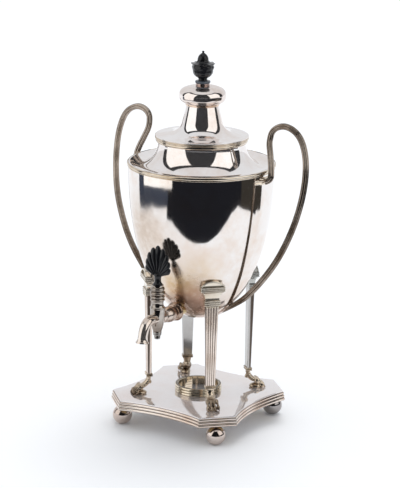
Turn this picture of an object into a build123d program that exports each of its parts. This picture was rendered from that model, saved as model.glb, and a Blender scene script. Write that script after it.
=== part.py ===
from build123d import *
import math
import os

# A silver-plated tea urn: a bowl on four paw-footed legs over a square base with a lamp ring,
# two reeded loop handles, a lift-off lid with a black finial, and a plug tap with a black shell key.
# Millimetres. The origin is on the urn's axis, in the plane that the ball feet stand on. +Z is up,
# the tap points to -Y and the handles stand on +X and -X. The legs stand on the four diagonals.

os.makedirs("parts", exist_ok=True)

# Clearances
seat_gap = 0.2            # between curved pieces that are soldered to each other
running_gap = 0.05        # on the radius of pins, screws and the tap's plug in their holes
lid_gap = 0.4             # on the radius, between the lid's bezel and the mouth
turning_gap = 0.3         # between the key's flat faces and the tap

# Ball feet
foot_radius = 11.5
foot_flat_radius = 3.0
foot_neck_radius = 4.2
foot_neck_height = 1.6
foot_stud_radius = 2.5
foot_stud_depth = 9.0     # how far the stud reaches into the ball
foot_from_corner = 4.6    # from the ball's axis to the inside of the corner's moulding
nut_across = 8.0
nut_height = 3.2

# Base
base_half = 84.2          # from the axis to the straight line between two corners
base_cant = 30.2
side_dish = 8.0
plate_thickness = 1.2
moulding_height = 10.2
moulding_wall = 2.2
moulding_reeds = 3
moulding_rise = 0.9
moulding_flare = 1.6
block_thickness = 5.0
block_depth = 22.0        # from the corner's straight edge inwards
block_recess = 0.5

# Lamp ring
ring_bore = 23.5
ring_radius = 26.4
ring_height = 9.5
ring_reeds = 3
ring_rise = 1.1

# Legs, in a leg's own frame: X outwards from the urn's axis, Y across the leg
leg_contact = 13.7        # from the shaft's top up to where the leg's back meets the bowl
leg_count = 4
shaft_height = 96.0
shaft_top_width = 15.3
shaft_top_thickness = 7.0
shaft_foot_width = 11.0
shaft_foot_thickness = 4.9
shaft_reeds = 5
shaft_rise = 1.0
ankle_height = 4.0
ankle_overhang = 0.7
ankle_lean = 0.8
foot_height = 21.9        # from the plate to the underside of the ankle band
paw_reach = 20.1          # from the back of the leg to the middle of the toes' tips
toe_radius = 3.1
toe_pitch = 3.6
toe_count = 4
knuckle_radius = 3.6
knuckle_height = 8.6
pad_length = 15.0
pad_width = 12.0
pad_height = 6.5
leg_screw_radius = 2.0
leg_screw_reach = 14.0    # from the back of the leg to the screw
leg_screw_depth = 5.5
hole_end_gap = 0.5          # free depth past the end of a screw or a tang
screw_head_radius = 3.6
screw_head_height = 2.0

# Capitals at the top of the legs
capital_foot_width = 17.2
capital_top_width = 27.0
capital_front = 1.1       # how far the capital stands in front of the shaft
capital_foot_height = 7.0
capital_hollow_height = 10.0
capital_top_height = 6.0
capital_pediment_rise = 6.6
capital_reeds = 3
capital_rise = 0.7

# Bowl
bowl_radius = 84.0
bowl_depth = 180.0
bowl_power = 2.1          # of the bowl's superellipse: 2 is a true ellipse
bowl_wall = 1.2
bowl_over_plate = 90.9
collar_height = 4.5       # the straight wall above the bowl's widest line

# Rim, shoulder and mouth
rim_height = 5.2
rim_below_collar = 3.7
rim_rise = 1.5
ledge_flat = 1.6
ledge_dip = 1.6
ledge_fall = 3.1          # from the rim's inside to the crease at the neck
crease_radius = 66.0
neck_radius = 50.0
neck_height = 27.4
mouth_height = 3.5
mouth_radius = 52.4
mouth_rise = 0.7

# Lid
bezel_depth = 8.0
bezel_wall = 1.2
lid_edge_height = 2.8
lid_edge_radius = 53.3
lid_edge_rise = 0.6
lid_sheet = 1.0
lid_flat = 6.0            # the flat border of the lid's sheet
bell_foot_radius = 26.0
bell_foot_rise = 3.4
bell_foot_round = 8.0
bell_border_round = 24.0
bell_top_radius = 18.8
bell_height = 31.3
bead_radius = 19.0
bead_height = 2.2
bead_rise = 0.8
bulb_foot_radius = 19.0
bulb_radius = 26.2
bulb_waist_height = 7.4   # from the bulb's foot to its widest line
bulb_shoulder_radius = 20.4
bulb_shoulder_height = 15.1
bulb_top_radius = 7.4
bulb_height = 17.0

# Finial
rod_radius = 2.0
collar_radius = 7.0
finial_collar_height = 2.2
finial_foot_radius = 8.4
finial_foot_height = 7.0
finial_neck_radius = 4.6
finial_neck_height = 9.6
finial_cup_radius = 11.6
finial_cup_height = 18.6
finial_lip_radius = 13.1
finial_lip_height = 25.2
finial_height = 31.0
finial_top_radius = 4.7
tip_radius = 4.4
tip_height = 9.6

# Handles
handle_radius = 3.7
handle_reach = 39.5       # how far the loop stands out beyond the rim
handle_lean = 19.0        # how far it leans towards +Y
handle_rise = 51.5        # how far it stands over the rim
handle_drop = 115.0       # from the rim down to where it turns in under the bowl
handle_shape = [          # outwards, leaning and up or down, as shares of those four
    (0.063, 0.05, -0.097), (0.038, 0.18, 0.02), (-0.101, 0.53, 0.33), (-0.215, 0.74, 0.58),
    (-0.152, 0.89, 0.87), (0.253, 0.95, 1.0), (0.722, 1.0, 0.815), (0.962, 0.95, 0.35),
    (1.0, 0.76, -0.122), (0.861, 0.42, -0.443), (0.557, 0.18, -0.739), (0.152, 0.0, -1.0)]
handle_tail = [           # away from the bowl and over its lowest point, as shares of handle_drop
    (0.129, 0.33), (0.055, 0.2), (-0.004, 0.109)]
bracket_thickness = 2.4
bracket_half_width = 20.0
bracket_height = 12.0
leaf_thickness = 2.0
leaf_length = 30.0
leaf_width = 17.0

# Tap
pipe_over_plate = 109.9   # the water way's middle
tap_reach = 90.0          # from the urn's axis to the tap's upright barrel
water_radius = 3.0
socket_bore = 5.0
socket_wall = 2.0
socket_outer_reach = 54.0
socket_inner_reach = 26.0
rosette_radius = 15.0
rosette_thickness = 1.8
pipe_radius = 6.4
pipe_bulge_radius = 9.2
pipe_bulge_reach = 66.0
pipe_bulge_length = 20.0
barrel_below = 13.4       # from the water way down to the barrel's lower end
barrel_above = 39.0       # and up to its top
barrel_radius = 8.2
barrel_foot_radius = 5.6
barrel_waist_radius = 5.8
barrel_waist_round = 0.6
belly_below = 7.4         # the belly's straight part, below the water way
belly_above = 8.0         # and above it
barrel_waist_above = 16.0
barrel_ring_height = 12.0
barrel_rings = 3
barrel_ring_rise = 0.9
plug_foot_radius = 3.2
plug_top_radius = 4.6
plug_head_radius = 6.6
plug_head_height = 1.4
tang_radius = 2.0
tang_length = 14.0
washer_radius = 5.0
washer_height = 1.0
knob_radius = 4.6
knob_height = 8.4
thread_radius = 2.0
spout_radius = 6.0
spout_wall = 1.6
spout_reach = 31.0        # from the barrel's axis to the middle of the mouth
spout_drop = 20.0
spout_round = 15.0
lip_radius = 7.6
lip_height = 3.0

# Shell key
key_stem_radius = 5.2
key_stem_height = 10.0
key_tip_radius = 2.7
key_root_radius = 2.0
key_height = 31.5         # from the shell's root to the middle lobe's tip
key_half_width = 13.6     # from the middle to the widest lobe's tip
key_tips = [(0, 1), (0.52, 0.89), (0.84, 0.67), (1, 0.44), (0.98, 0.2)]   # across and up, as shares
key_web = 3.0
key_stem_overlap = 2.0    # how far the stem reaches into the shell

# Heights, from the feet upwards
foot_middle = math.sqrt(foot_radius**2 - foot_flat_radius**2)
block_bottom = foot_middle + foot_radius + foot_neck_height
moulding_bottom = block_bottom - block_recess
plate_bottom = moulding_bottom + moulding_height
plate_top = plate_bottom + plate_thickness
ankle_bottom = plate_top + foot_height
shaft_bottom = ankle_bottom + ankle_height
shaft_top = shaft_bottom + shaft_height
bowl_bottom = plate_top + bowl_over_plate
bowl_top = bowl_bottom + bowl_depth
collar_top = bowl_top + collar_height
ledge_top = collar_top + bowl_wall
rim_bottom = collar_top - rim_below_collar
rim_top = rim_bottom + rim_height
crease_height = ledge_top - ledge_fall
neck_top = crease_height + neck_height
mouth_top = neck_top + mouth_height
lid_edge_top = mouth_top + lid_edge_height
lid_border_top = lid_edge_top + lid_sheet
bell_top = lid_border_top + bell_foot_rise + bell_height
bead_top = bell_top + bead_height
bulb_top = bead_top + bulb_height
finial_bottom = bulb_top + finial_collar_height
finial_top = finial_bottom + finial_height
tip_top = finial_top + tip_height
pipe_middle = plate_top + pipe_over_plate
barrel_bottom = pipe_middle - barrel_below
barrel_top = pipe_middle + barrel_above
key_bottom = barrel_top + turning_gap + plug_head_height
key_root = key_bottom + key_stem_height


def turned(lines):
    """A solid turned about Z from its outline, drawn as radius and height."""
    return revolve(Plane.XZ * make_face(lines), Axis.Z)


def reeds(start, end, count, rise):
    """Round reeds side by side, standing out to the right of the way from start to end."""
    first = Vector(*start)
    step = (Vector(*end) - first) / count
    out = Vector(step.Y, -step.X).normalized() * rise
    arcs = []
    for number in range(count):
        low = first + step * number
        arcs.append(ThreePointArc(low, low + step / 2 + out, low + step))
    return arcs


def reeded_ring(bore, radius, low, high, count, rise):
    """A turned ring with reeds round its outside."""
    inside = Polyline((radius, high), (bore, high), (bore, low), (radius, low))
    return turned([*reeds((radius, low), (radius, high), count, rise), inside])


def reeded_stack(outline, low, high, count, rise, flare=0.0):
    """A block with reeds round its sides. outline(grow) is its plan, moved outwards by grow."""
    steps = 4 * count
    sections = []
    for step in range(steps + 1):
        share = step / steps
        grow = flare * (1 - share) + rise * abs(math.sin(math.pi * count * share))
        sections.append(Pos(0, 0, low + (high - low) * share) * make_face(outline(grow)))
    return loft(sections, ruled=True)


def rod_between(start, end, start_radius, end_radius):
    """A round bar from one point to another."""
    way = Vector(*end) - Vector(*start)
    section = Polyline((0, 0), (start_radius, 0), (end_radius, way.length), (0, way.length), close=True)
    return Plane(origin=start, z_dir=way) * turned(section)


def upright(radius, low, high):
    """A round bar along Z."""
    return Pos(0, 0, low) * Cylinder(radius, high - low, align=(Align.CENTER, Align.CENTER, Align.MIN))


def forward(solid):
    """Lays a solid that was turned about Z along the water way, towards -Y."""
    return Pos(0, 0, pipe_middle) * Rot(90, 0, 0) * solid


def bowl_width(height):
    """The bowl's radius at a height."""
    share = min(max((bowl_top - height) / bowl_depth, 0), 1)
    return bowl_radius * (1 - share**bowl_power) ** (1 / bowl_power)


def copies(shape, places):
    """One group of separate solids, one at each place."""
    return Compound(children=[place * shape for place in places])


def save(name, shape):
    """Writes one sub-part."""
    shape.label = name
    export_step(shape, f"parts/{name}.step")


# Base plate, its moulding and its corner blocks

def base_outline(grow):
    """The base's plan: four sides dished inwards and four straight corners, moved outwards by grow."""
    half_side = base_half - base_cant
    arc_radius = (half_side**2 + side_dish**2) / (2 * side_dish)
    arc_middle = base_half - side_dish + arc_radius
    corner_sum = base_half + half_side + grow * math.sqrt(2)
    radius = arc_radius - grow
    apart = arc_middle - corner_sum
    x = (math.sqrt(2 * radius**2 - apart**2) - apart) / 2
    y = x - corner_sum
    lines = []
    for quarter in range(4):
        turn = Rot(0, 0, 90 * quarter)
        lines.append(turn * ThreePointArc((-x, y), (0, radius - arc_middle), (x, y)))
        lines.append(turn * Line((x, y), (-y, -x)))
    return lines


leg_back = bowl_width(shaft_top + leg_contact)
corner_distance = (2 * base_half - base_cant) / math.sqrt(2)
corner_inside = corner_distance - moulding_wall
foot_reach = corner_inside - foot_from_corner
screw_reach = leg_back + leg_screw_reach
leg_turns = [Rot(0, 0, 360 * number / leg_count - 45) for number in range(leg_count)]

base_plate = Pos(0, 0, plate_bottom) * extrude(make_face(base_outline(0)), plate_thickness)
for turn in leg_turns:
    base_plate -= turn * Pos(screw_reach, 0) * upright(
        leg_screw_radius + running_gap, plate_bottom, plate_top)
save("base_plate", base_plate)

base_moulding = reeded_stack(
    base_outline, moulding_bottom, plate_bottom, moulding_reeds, moulding_rise, moulding_flare)
base_moulding -= Pos(0, 0, moulding_bottom) * extrude(
    make_face(base_outline(-moulding_wall)), moulding_height)
save("base_moulding", base_moulding)

block_plan = extrude(make_face(base_outline(-moulding_wall - running_gap)), block_thickness)
block_middle = corner_distance - block_depth / 2
block_box = Pos(block_middle, 0) * Box(
    block_depth, 2 * base_half, 3 * block_thickness)
block = Pos(0, 0, block_bottom) * (block_plan & (Rot(0, 0, 45) * block_box))
block -= Rot(0, 0, 45) * Pos(foot_reach, 0) * upright(
    foot_stud_radius + running_gap, block_bottom, plate_bottom)
save("corner_blocks", copies(block, [Rot(0, 0, 90 * number) for number in range(4)]))


# Ball feet with their studs and nuts

foot_ball = Pos(0, 0, foot_middle) * Sphere(foot_radius)
foot_ball += upright(foot_neck_radius, foot_middle, block_bottom)
foot_ball &= upright(2 * foot_radius, 0, block_bottom)
stud_bottom = block_bottom - foot_neck_height - foot_stud_depth
stud_top = block_bottom + block_thickness + nut_height + 0.5
foot_ball -= upright(foot_stud_radius + running_gap, stud_bottom, block_bottom)
foot_places = [turn * Pos(foot_reach, 0) for turn in leg_turns]
for number, place in enumerate(foot_places, 1):
    save(f"foot_ball_{number}", place * foot_ball)

stud = upright(foot_stud_radius, stud_bottom, stud_top)
save("foot_studs", copies(stud, foot_places))

nut_plan = RegularPolygon(nut_across / 2, 6, major_radius=False)


def hex_nut(bore, low):
    """A hexagon nut that stands on the height low."""
    nut = Pos(0, 0, low) * extrude(nut_plan, nut_height)
    return nut - upright(bore + running_gap, low, low + nut_height)


foot_nut = hex_nut(foot_stud_radius, block_bottom + block_thickness)
save("foot_nuts", copies(foot_nut, foot_places))


# Lamp ring

save("burner_ring", reeded_ring(
    ring_bore, ring_radius, plate_top, plate_top + ring_height, ring_reeds, ring_rise))


# Bowl

def bowl_curve(grow):
    """The bowl's outline from its widest line down to its lowest point, moved outwards by grow."""
    points = []
    for step in range(13):
        angle = math.pi / 2 * step / 12
        points.append((
            (bowl_radius + grow) * abs(math.cos(angle)) ** (2 / bowl_power),
            bowl_top - (bowl_depth + grow) * math.sin(angle) ** (2 / bowl_power)))
    return Spline(points, tangents=[(0, -1), (-1, 0)])


def bowl_filled(grow):
    """The bowl as one filled solid, its outside moved outwards by grow."""
    bottom = bowl_top - bowl_depth - grow
    top = collar_top
    side = Polyline((0, bottom), (0, top), (bowl_radius + grow, top), (bowl_radius + grow, bowl_top))
    return turned([bowl_curve(grow), side])


socket_outer = socket_bore + socket_wall
bowl_inside = bowl_filled(-bowl_wall)
body_bowl = bowl_filled(0) - bowl_inside
body_bowl -= forward(upright(socket_outer + running_gap, 0, bowl_radius))
save("body_bowl", body_bowl)


# Rim, shoulder and mouth

rim_bore = bowl_radius + seat_gap
save("body_rim", reeded_ring(rim_bore, bowl_radius + 0.4, rim_bottom, rim_top, 1, rim_rise))


def ledge_line(drop):
    """The dished ledge between the rim and the neck, lowered by drop."""
    outer = bowl_radius - ledge_flat
    middle = (outer + crease_radius) / 2
    middle_height = (ledge_top + crease_height) / 2 - ledge_dip
    return ThreePointArc(
        (outer, ledge_top - drop), (middle, middle_height - drop), (crease_radius, crease_height - drop))


neck_swell = crease_radius - neck_radius
neck_round = (neck_swell**2 + neck_height**2) / (2 * neck_swell)
neck_arc_middle = neck_radius + neck_round
neck_turn = math.asin(neck_height / neck_round)


def neck_line(thickness):
    """The neck's hollow curve, from the crease up to its top, moved inwards by thickness."""
    size = neck_round + thickness
    points = []
    for share in (1, 0.5, 0):
        turn = neck_turn * share
        points.append((neck_arc_middle - size * math.cos(turn), neck_top - size * math.sin(turn)))
    return ThreePointArc(*points)


upper_neck = neck_line(0)
lower_neck = neck_line(bowl_wall)
body_shoulder = turned([
    Line((bowl_radius, ledge_top), (bowl_radius - ledge_flat, ledge_top)),
    ledge_line(0),
    upper_neck,
    Line((neck_radius, neck_top), (neck_radius - bowl_wall, neck_top)),
    lower_neck,
    Line(lower_neck @ 0, (crease_radius, crease_height - bowl_wall)),
    ledge_line(bowl_wall),
    Line((bowl_radius - ledge_flat, collar_top), (bowl_radius, collar_top)),
    Line((bowl_radius, collar_top), (bowl_radius, ledge_top)),
])
save("body_shoulder", body_shoulder)

mouth_bore = neck_radius - bowl_wall
save("mouth_ring", reeded_ring(mouth_bore, mouth_radius, neck_top, mouth_top, 1, mouth_rise))


# Legs: shaft, capital and paw foot

def shaft_section(height, width, thickness):
    """A leg's section: flat at the back, reeded in front."""
    front = leg_back + thickness - shaft_rise
    half = width / 2
    back = Polyline((front, half), (leg_back, half), (leg_back, -half), (front, -half))
    ribs = reeds((front, -half), (front, half), shaft_reeds, shaft_rise)
    return Pos(0, 0, height) * make_face([*ribs, back])


leg_shaft = loft([
    shaft_section(shaft_bottom, shaft_foot_width, shaft_foot_thickness),
    shaft_section(shaft_top, shaft_top_width, shaft_top_thickness)], ruled=True)

capital_face = leg_back + shaft_top_thickness + capital_front
capital_hollow_bottom = shaft_top + capital_foot_height
capital_hollow_top = capital_hollow_bottom + capital_hollow_height
capital_top = capital_hollow_top + capital_top_height


def block_outline(width, front):
    """A function for reeded_stack: an oblong from the leg's back to front, grown on three sides."""
    def outline(grow):
        half = width / 2 + grow
        return [Polyline((leg_back, -half), (front + grow, -half), (front + grow, half), (leg_back, half),
                         close=True)]
    return outline


def across(lines):
    """A solid drawn in the leg's front view, as deep as the capital."""
    return Pos(leg_back, 0) * extrude(Plane.YZ * make_face(lines), capital_face - leg_back)


half_foot = capital_foot_width / 2
half_top = capital_top_width / 2
hollow_in = half_foot + (half_top - half_foot) * 0.2
hollow_mid = (capital_hollow_bottom + capital_hollow_top) / 2 + 1
capital_hollow = across([
    ThreePointArc(
        (half_foot, capital_hollow_bottom), (hollow_in, hollow_mid), (half_top, capital_hollow_top)),
    Line((half_top, capital_hollow_top), (-half_top, capital_hollow_top)),
    ThreePointArc(
        (-half_top, capital_hollow_top), (-hollow_in, hollow_mid), (-half_foot, capital_hollow_bottom)),
    Line((-half_foot, capital_hollow_bottom), (half_foot, capital_hollow_bottom)),
])
capital_pediment = across([
    ThreePointArc(
        (half_top, capital_top), (0, capital_top + capital_pediment_rise), (-half_top, capital_top)),
    Line((-half_top, capital_top), (half_top, capital_top)),
])
leg_capital = reeded_stack(
    block_outline(capital_foot_width, capital_face), shaft_top, capital_hollow_bottom,
    capital_reeds, capital_rise)
leg_capital += capital_hollow
leg_capital += reeded_stack(
    block_outline(capital_top_width, capital_face), capital_hollow_top, capital_top,
    capital_reeds, capital_rise)
leg_capital += capital_pediment
leg_capital -= bowl_filled(seat_gap)

ankle_front = leg_back + shaft_foot_thickness
ankle_middle = (leg_back + ankle_front) / 2
leg_foot = Pos(-ankle_overhang, 0) * reeded_stack(
    block_outline(shaft_foot_width, ankle_front + ankle_overhang), ankle_bottom, shaft_bottom,
    2, ankle_overhang)
toe_reach = leg_back + paw_reach
toe_middle = plate_top + toe_radius - 0.2
knuckle_reach = (ankle_middle + 2 * toe_reach) / 3
knuckle_middle = plate_top + knuckle_height
ankle_sections = [
    Plane(origin=(ankle_middle, 0, ankle_bottom), x_dir=(0, 1, 0), z_dir=(0, 0, -1))
    * RectangleRounded(shaft_foot_width - 0.8, shaft_foot_thickness, 1.5),
    Plane(
        origin=(ankle_middle + ankle_lean, 0, ankle_bottom - 0.3 * foot_height),
        x_dir=(0, 1, 0), z_dir=(0.3, 0, -1))
    * RectangleRounded(shaft_foot_width - 2, shaft_foot_thickness - 0.3, 1.5),
    Plane(origin=(knuckle_reach - 2, 0, knuckle_middle - 1), x_dir=(0, 1, 0), z_dir=(1, 0, -0.5))
    * RectangleRounded(shaft_foot_width + 1, 2 * knuckle_radius - 1, 1.5),
]
leg_foot += loft(ankle_sections)
for number in range(toe_count):
    across_way = toe_pitch * (number - (toe_count - 1) / 2)
    tip = (toe_reach, across_way, toe_middle)
    knuckle = (knuckle_reach, across_way, knuckle_middle)
    leg_foot += Pos(*tip) * Sphere(toe_radius)
    leg_foot += Pos(*knuckle) * Sphere(knuckle_radius)
    leg_foot += rod_between(knuckle, tip, knuckle_radius, toe_radius)
leg_foot += Pos(screw_reach, 0, plate_top) * extrude(Ellipse(pad_length / 2, pad_width / 2), pad_height)
leg_foot &= Pos(0, 0, plate_top) * Box(
    4 * leg_back, 2 * shaft_foot_width, shaft_height, align=(Align.CENTER, Align.CENTER, Align.MIN))
leg_foot -= Pos(screw_reach, 0) * upright(
    leg_screw_radius + running_gap, plate_top, plate_top + leg_screw_depth)

for number, turn in enumerate(leg_turns, 1):
    save(f"leg_shaft_{number}", turn * leg_shaft)
    save(f"leg_capital_{number}", turn * leg_capital)
    save(f"leg_foot_{number}", turn * leg_foot)

leg_screw = upright(leg_screw_radius, plate_bottom, plate_top + leg_screw_depth - hole_end_gap)
leg_screw += upright(screw_head_radius, plate_bottom - screw_head_height, plate_bottom)
save("leg_screws", copies(leg_screw, [turn * Pos(screw_reach, 0) for turn in leg_turns]))


# Handles: a tube with a leaf bracket under the rim and a leaf on the bowl

handle_out = bowl_radius + rim_rise + handle_radius
handle_route = [(bowl_radius + bracket_thickness / 2, 0, rim_bottom - 2 * handle_radius)]
for out, lean, rise in handle_shape:
    span = handle_rise if rise > 0 else handle_drop
    handle_route.append((handle_out + out * handle_reach, lean * handle_lean, rim_top + rise * span))
for out, rise in handle_tail:
    height = bowl_bottom + rise * handle_drop
    handle_route.append((bowl_width(height) + out * handle_drop, -handle_radius / 2, height))


def corner_radii(points):
    """The largest round that each corner of a route has room for."""
    radii = []
    for before, corner, after in zip(points, points[1:], points[2:]):
        way_in = Vector(*corner) - Vector(*before)
        way_out = Vector(*after) - Vector(*corner)
        half_turn = math.radians(way_in.get_angle(way_out)) / 2
        radii.append(0.45 * min(way_in.length, way_out.length) / math.tan(half_turn))
    return radii


handle_path = FilletPolyline(*handle_route, radius=corner_radii(handle_route))
handle_plan = Plane(origin=handle_path @ 0, z_dir=handle_path % 0) * Circle(handle_radius)
handle = sweep(handle_plan, path=handle_path)
handle -= bowl_filled(bracket_thickness + seat_gap)

bracket_middle = rim_bottom - bracket_height / 2 - 0.5
lobe_reach = bracket_half_width / 2
bracket_plan = Ellipse(bracket_height / 2, bracket_height / 2)
for side in (-1, 1):
    bracket_plan += Pos(side * lobe_reach, 1) * Ellipse(lobe_reach, bracket_height / 3)
bracket_skin = bowl_filled(bracket_thickness) - bowl_filled(seat_gap)
bracket = bracket_skin & extrude(
    Plane.YZ * Pos(2, bracket_middle) * bracket_plan, 2 * bowl_radius)

leaf_skin = bowl_filled(leaf_thickness) - bowl_filled(seat_gap)
leaf_middle = bowl_width(bowl_bottom + 12) + 3
leaf = leaf_skin & Pos(leaf_middle, -2, bowl_bottom) * extrude(
    Ellipse(leaf_length / 2, leaf_width / 2), bowl_depth / 3)

for side, solids in (("right", (handle, bracket, leaf)),
                     ("left", tuple(mirror(shape, about=Plane.YZ) for shape in (handle, bracket, leaf)))):
    save(f"handle_{side}", solids[0])
    save(f"handle_bracket_{side}", solids[1])
    save(f"handle_leaf_{side}", solids[2])


# Tap: socket, rosette, pipe, barrel and spout

tap_socket = upright(socket_outer, socket_inner_reach, socket_outer_reach)
tap_socket -= upright(socket_bore, socket_inner_reach, socket_outer_reach)
save("tap_socket", forward(tap_socket))

rosette_skin = bowl_filled(rosette_thickness) - bowl_filled(seat_gap)
rosette = rosette_skin & forward(upright(rosette_radius, socket_inner_reach, bowl_radius))
rosette -= forward(upright(socket_outer + running_gap, 0, bowl_radius))
save("tap_rosette", rosette)

barrel_place = Pos(0, -tap_reach)
bulge_low = pipe_bulge_reach - pipe_bulge_length / 2
bulge_high = pipe_bulge_reach + pipe_bulge_length / 2
tail_radius = socket_bore - running_gap
pipe_end = tap_reach - plug_top_radius
tap_pipe = forward(turned([
    Polyline((water_radius, socket_inner_reach + 2), (tail_radius, socket_inner_reach + 2),
             (tail_radius, socket_outer_reach), (socket_outer + 1, socket_outer_reach),
             (socket_outer + 1, socket_outer_reach + 2), (pipe_radius, bulge_low)),
    ThreePointArc((pipe_radius, bulge_low), (pipe_bulge_radius, pipe_bulge_reach), (pipe_radius, bulge_high)),
    Polyline((pipe_radius, bulge_high), (pipe_radius, pipe_end), (water_radius, pipe_end),
             (water_radius, socket_inner_reach + 2)),
]))


def barrel_radius_line():
    """The barrel's outside, from its lower end to its top."""
    belly_bottom = pipe_middle - belly_below
    belly_top = pipe_middle + belly_above
    waist = pipe_middle + barrel_waist_above
    ring_bottom = barrel_top - barrel_ring_height
    return [
        Line((barrel_foot_radius, barrel_bottom), (barrel_radius, belly_bottom)),
        Line((barrel_radius, belly_bottom), (barrel_radius, belly_top)),
        ThreePointArc((barrel_radius, belly_top),
                      (barrel_waist_radius + barrel_waist_round, (belly_top + waist) / 2),
                      (barrel_waist_radius, waist)),
        Line((barrel_waist_radius, waist), (barrel_radius - barrel_ring_rise, ring_bottom)),
        *reeds((barrel_radius - barrel_ring_rise, ring_bottom),
               (barrel_radius - barrel_ring_rise, barrel_top), barrel_rings, barrel_ring_rise),
    ]


barrel_filled = barrel_place * turned([
    *barrel_radius_line(),
    Polyline((barrel_radius - barrel_ring_rise, barrel_top), (0, barrel_top), (0, barrel_bottom),
             (barrel_foot_radius, barrel_bottom)),
])
barrel_bore = barrel_place * rod_between(
    (0, 0, barrel_bottom), (0, 0, barrel_top), plug_foot_radius + running_gap, plug_top_radius + running_gap)
water_way = forward(upright(water_radius, pipe_end - barrel_radius, tap_reach + barrel_radius + 1))
tap_barrel = barrel_filled - barrel_bore - water_way
tap_pipe -= barrel_filled
save("tap_pipe", tap_pipe)
save("tap_barrel", tap_barrel)

spout_start = (0, -tap_reach - water_radius, pipe_middle)
spout_bend = (0, -tap_reach - spout_reach + 2, pipe_middle)
spout_end = (0, -tap_reach - spout_reach, pipe_middle - spout_drop)
spout_path = FilletPolyline(spout_start, spout_bend, spout_end, radius=spout_round)


def spout_tube(radius):
    """A tube along the spout."""
    return sweep(Plane(origin=spout_path @ 0, z_dir=spout_path % 0) * Circle(radius), path=spout_path)


lip_plane = Plane(origin=spout_end, z_dir=spout_path % 1)
lip_ring = lip_plane * Pos(0, 0, -lip_height) * Cone(
    spout_radius, lip_radius, lip_height, align=(Align.CENTER, Align.CENTER, Align.MIN))
tap_spout = spout_tube(spout_radius) + lip_ring
tap_spout -= spout_tube(spout_radius - spout_wall)
tap_spout -= barrel_filled
save("tap_spout", tap_spout)


# Key: plug, washer, knob nut and shell

plug_top = barrel_top + turning_gap
plug = rod_between((0, 0, barrel_bottom), (0, 0, plug_top), plug_foot_radius, plug_top_radius)
plug += upright(plug_head_radius, plug_top, plug_top + plug_head_height)
plug += upright(tang_radius, plug_top, plug_top + plug_head_height + tang_length)
washer_top = barrel_bottom - turning_gap
knob_top = washer_top - washer_height
knob_bottom = knob_top - knob_height
plug += upright(thread_radius, knob_top - knob_height / 2, barrel_bottom)
plug -= Pos(0, 0, pipe_middle) * Rot(0, 90, 0) * Cylinder(water_radius - 0.4, 4 * plug_top_radius)
save("tap_plug", barrel_place * plug)

washer = upright(washer_radius, knob_top, washer_top)
washer -= upright(thread_radius + running_gap, knob_top, washer_top)
save("tap_washer", barrel_place * washer)

knob_bore = thread_radius + running_gap
knob_waist = knob_top - knob_height / 2
knob_bore_end = knob_waist - 0.5
save("tap_knob_nut", barrel_place * turned([
    Polyline((0, knob_bottom), (0, knob_bore_end), (knob_bore, knob_bore_end), (knob_bore, knob_top),
             (knob_radius, knob_top)),
    ThreePointArc((knob_radius, knob_top), (knob_radius * 0.75, knob_top - knob_height / 3),
                  (knob_radius, knob_waist)),
    Spline((knob_radius, knob_waist), (knob_radius * 0.8, knob_bottom + knob_height / 6), (0, knob_bottom),
           tangents=[(0.3, -1), (-1, 0)]),
]))

stem_top = key_root + key_stem_overlap
shell = turned([
    Line((0, key_bottom), (key_stem_radius, key_bottom)),
    ThreePointArc((key_stem_radius, key_bottom), (key_stem_radius * 0.72, key_bottom + key_stem_height * 0.6),
                  (key_stem_radius * 0.9, stem_top)),
    Line((key_stem_radius * 0.9, stem_top), (0, stem_top)),
    Line((0, stem_top), (0, key_bottom)),
])
half_tips = [(key_half_width * across_share, 0, key_root + key_height * up_share)
             for across_share, up_share in key_tips]
lobe_tips = [(-x, y, z) for x, y, z in reversed(half_tips[1:])] + half_tips
for tip in lobe_tips:
    shell += rod_between((0, 0, key_root), tip, key_root_radius, key_tip_radius)
    shell += Pos(*tip) * Sphere(key_tip_radius)
web = Plane.XZ * make_face(Polyline((0, key_root), *[(x, z) for x, y, z in lobe_tips], close=True))
shell += extrude(web, key_web / 2, both=True)
shell -= upright(tang_radius + running_gap, key_bottom, key_bottom + tang_length + hole_end_gap)
save("tap_key_shell", barrel_place * shell)


# Lid: bezel, dome, bead and bulb

bezel_radius = mouth_bore - lid_gap
bezel_bore = bezel_radius - bezel_wall
lid_bezel = turned([
    Polyline((lid_edge_radius, mouth_top), (bezel_radius, mouth_top), (bezel_radius, mouth_top - bezel_depth),
             (bezel_bore, mouth_top - bezel_depth), (bezel_bore, lid_edge_top),
             (lid_edge_radius, lid_edge_top)),
    *reeds((lid_edge_radius, mouth_top), (lid_edge_radius, lid_edge_top), 1, lid_edge_rise),
])
save("lid_bezel", lid_bezel)


def sheet(path, thickness):
    """A turned sheet. path is its outer face, as radius and height, from the edge to the middle."""
    return turned(offset(path, amount=thickness, side=Side.LEFT).wires())


rod_hole = rod_radius + running_gap
dome_path = FilletPolyline(
    (lid_edge_radius, lid_border_top), (lid_edge_radius - lid_flat, lid_border_top),
    (bell_foot_radius, lid_border_top + bell_foot_rise), (bell_top_radius, bell_top), (rod_hole, bell_top),
    radius=[bell_border_round, bell_foot_round, 0.8])
save("lid_dome", sheet(dome_path, lid_sheet))

save("lid_bead", reeded_ring(rod_hole, bead_radius, bell_top, bead_top, 1, bead_rise))

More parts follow.
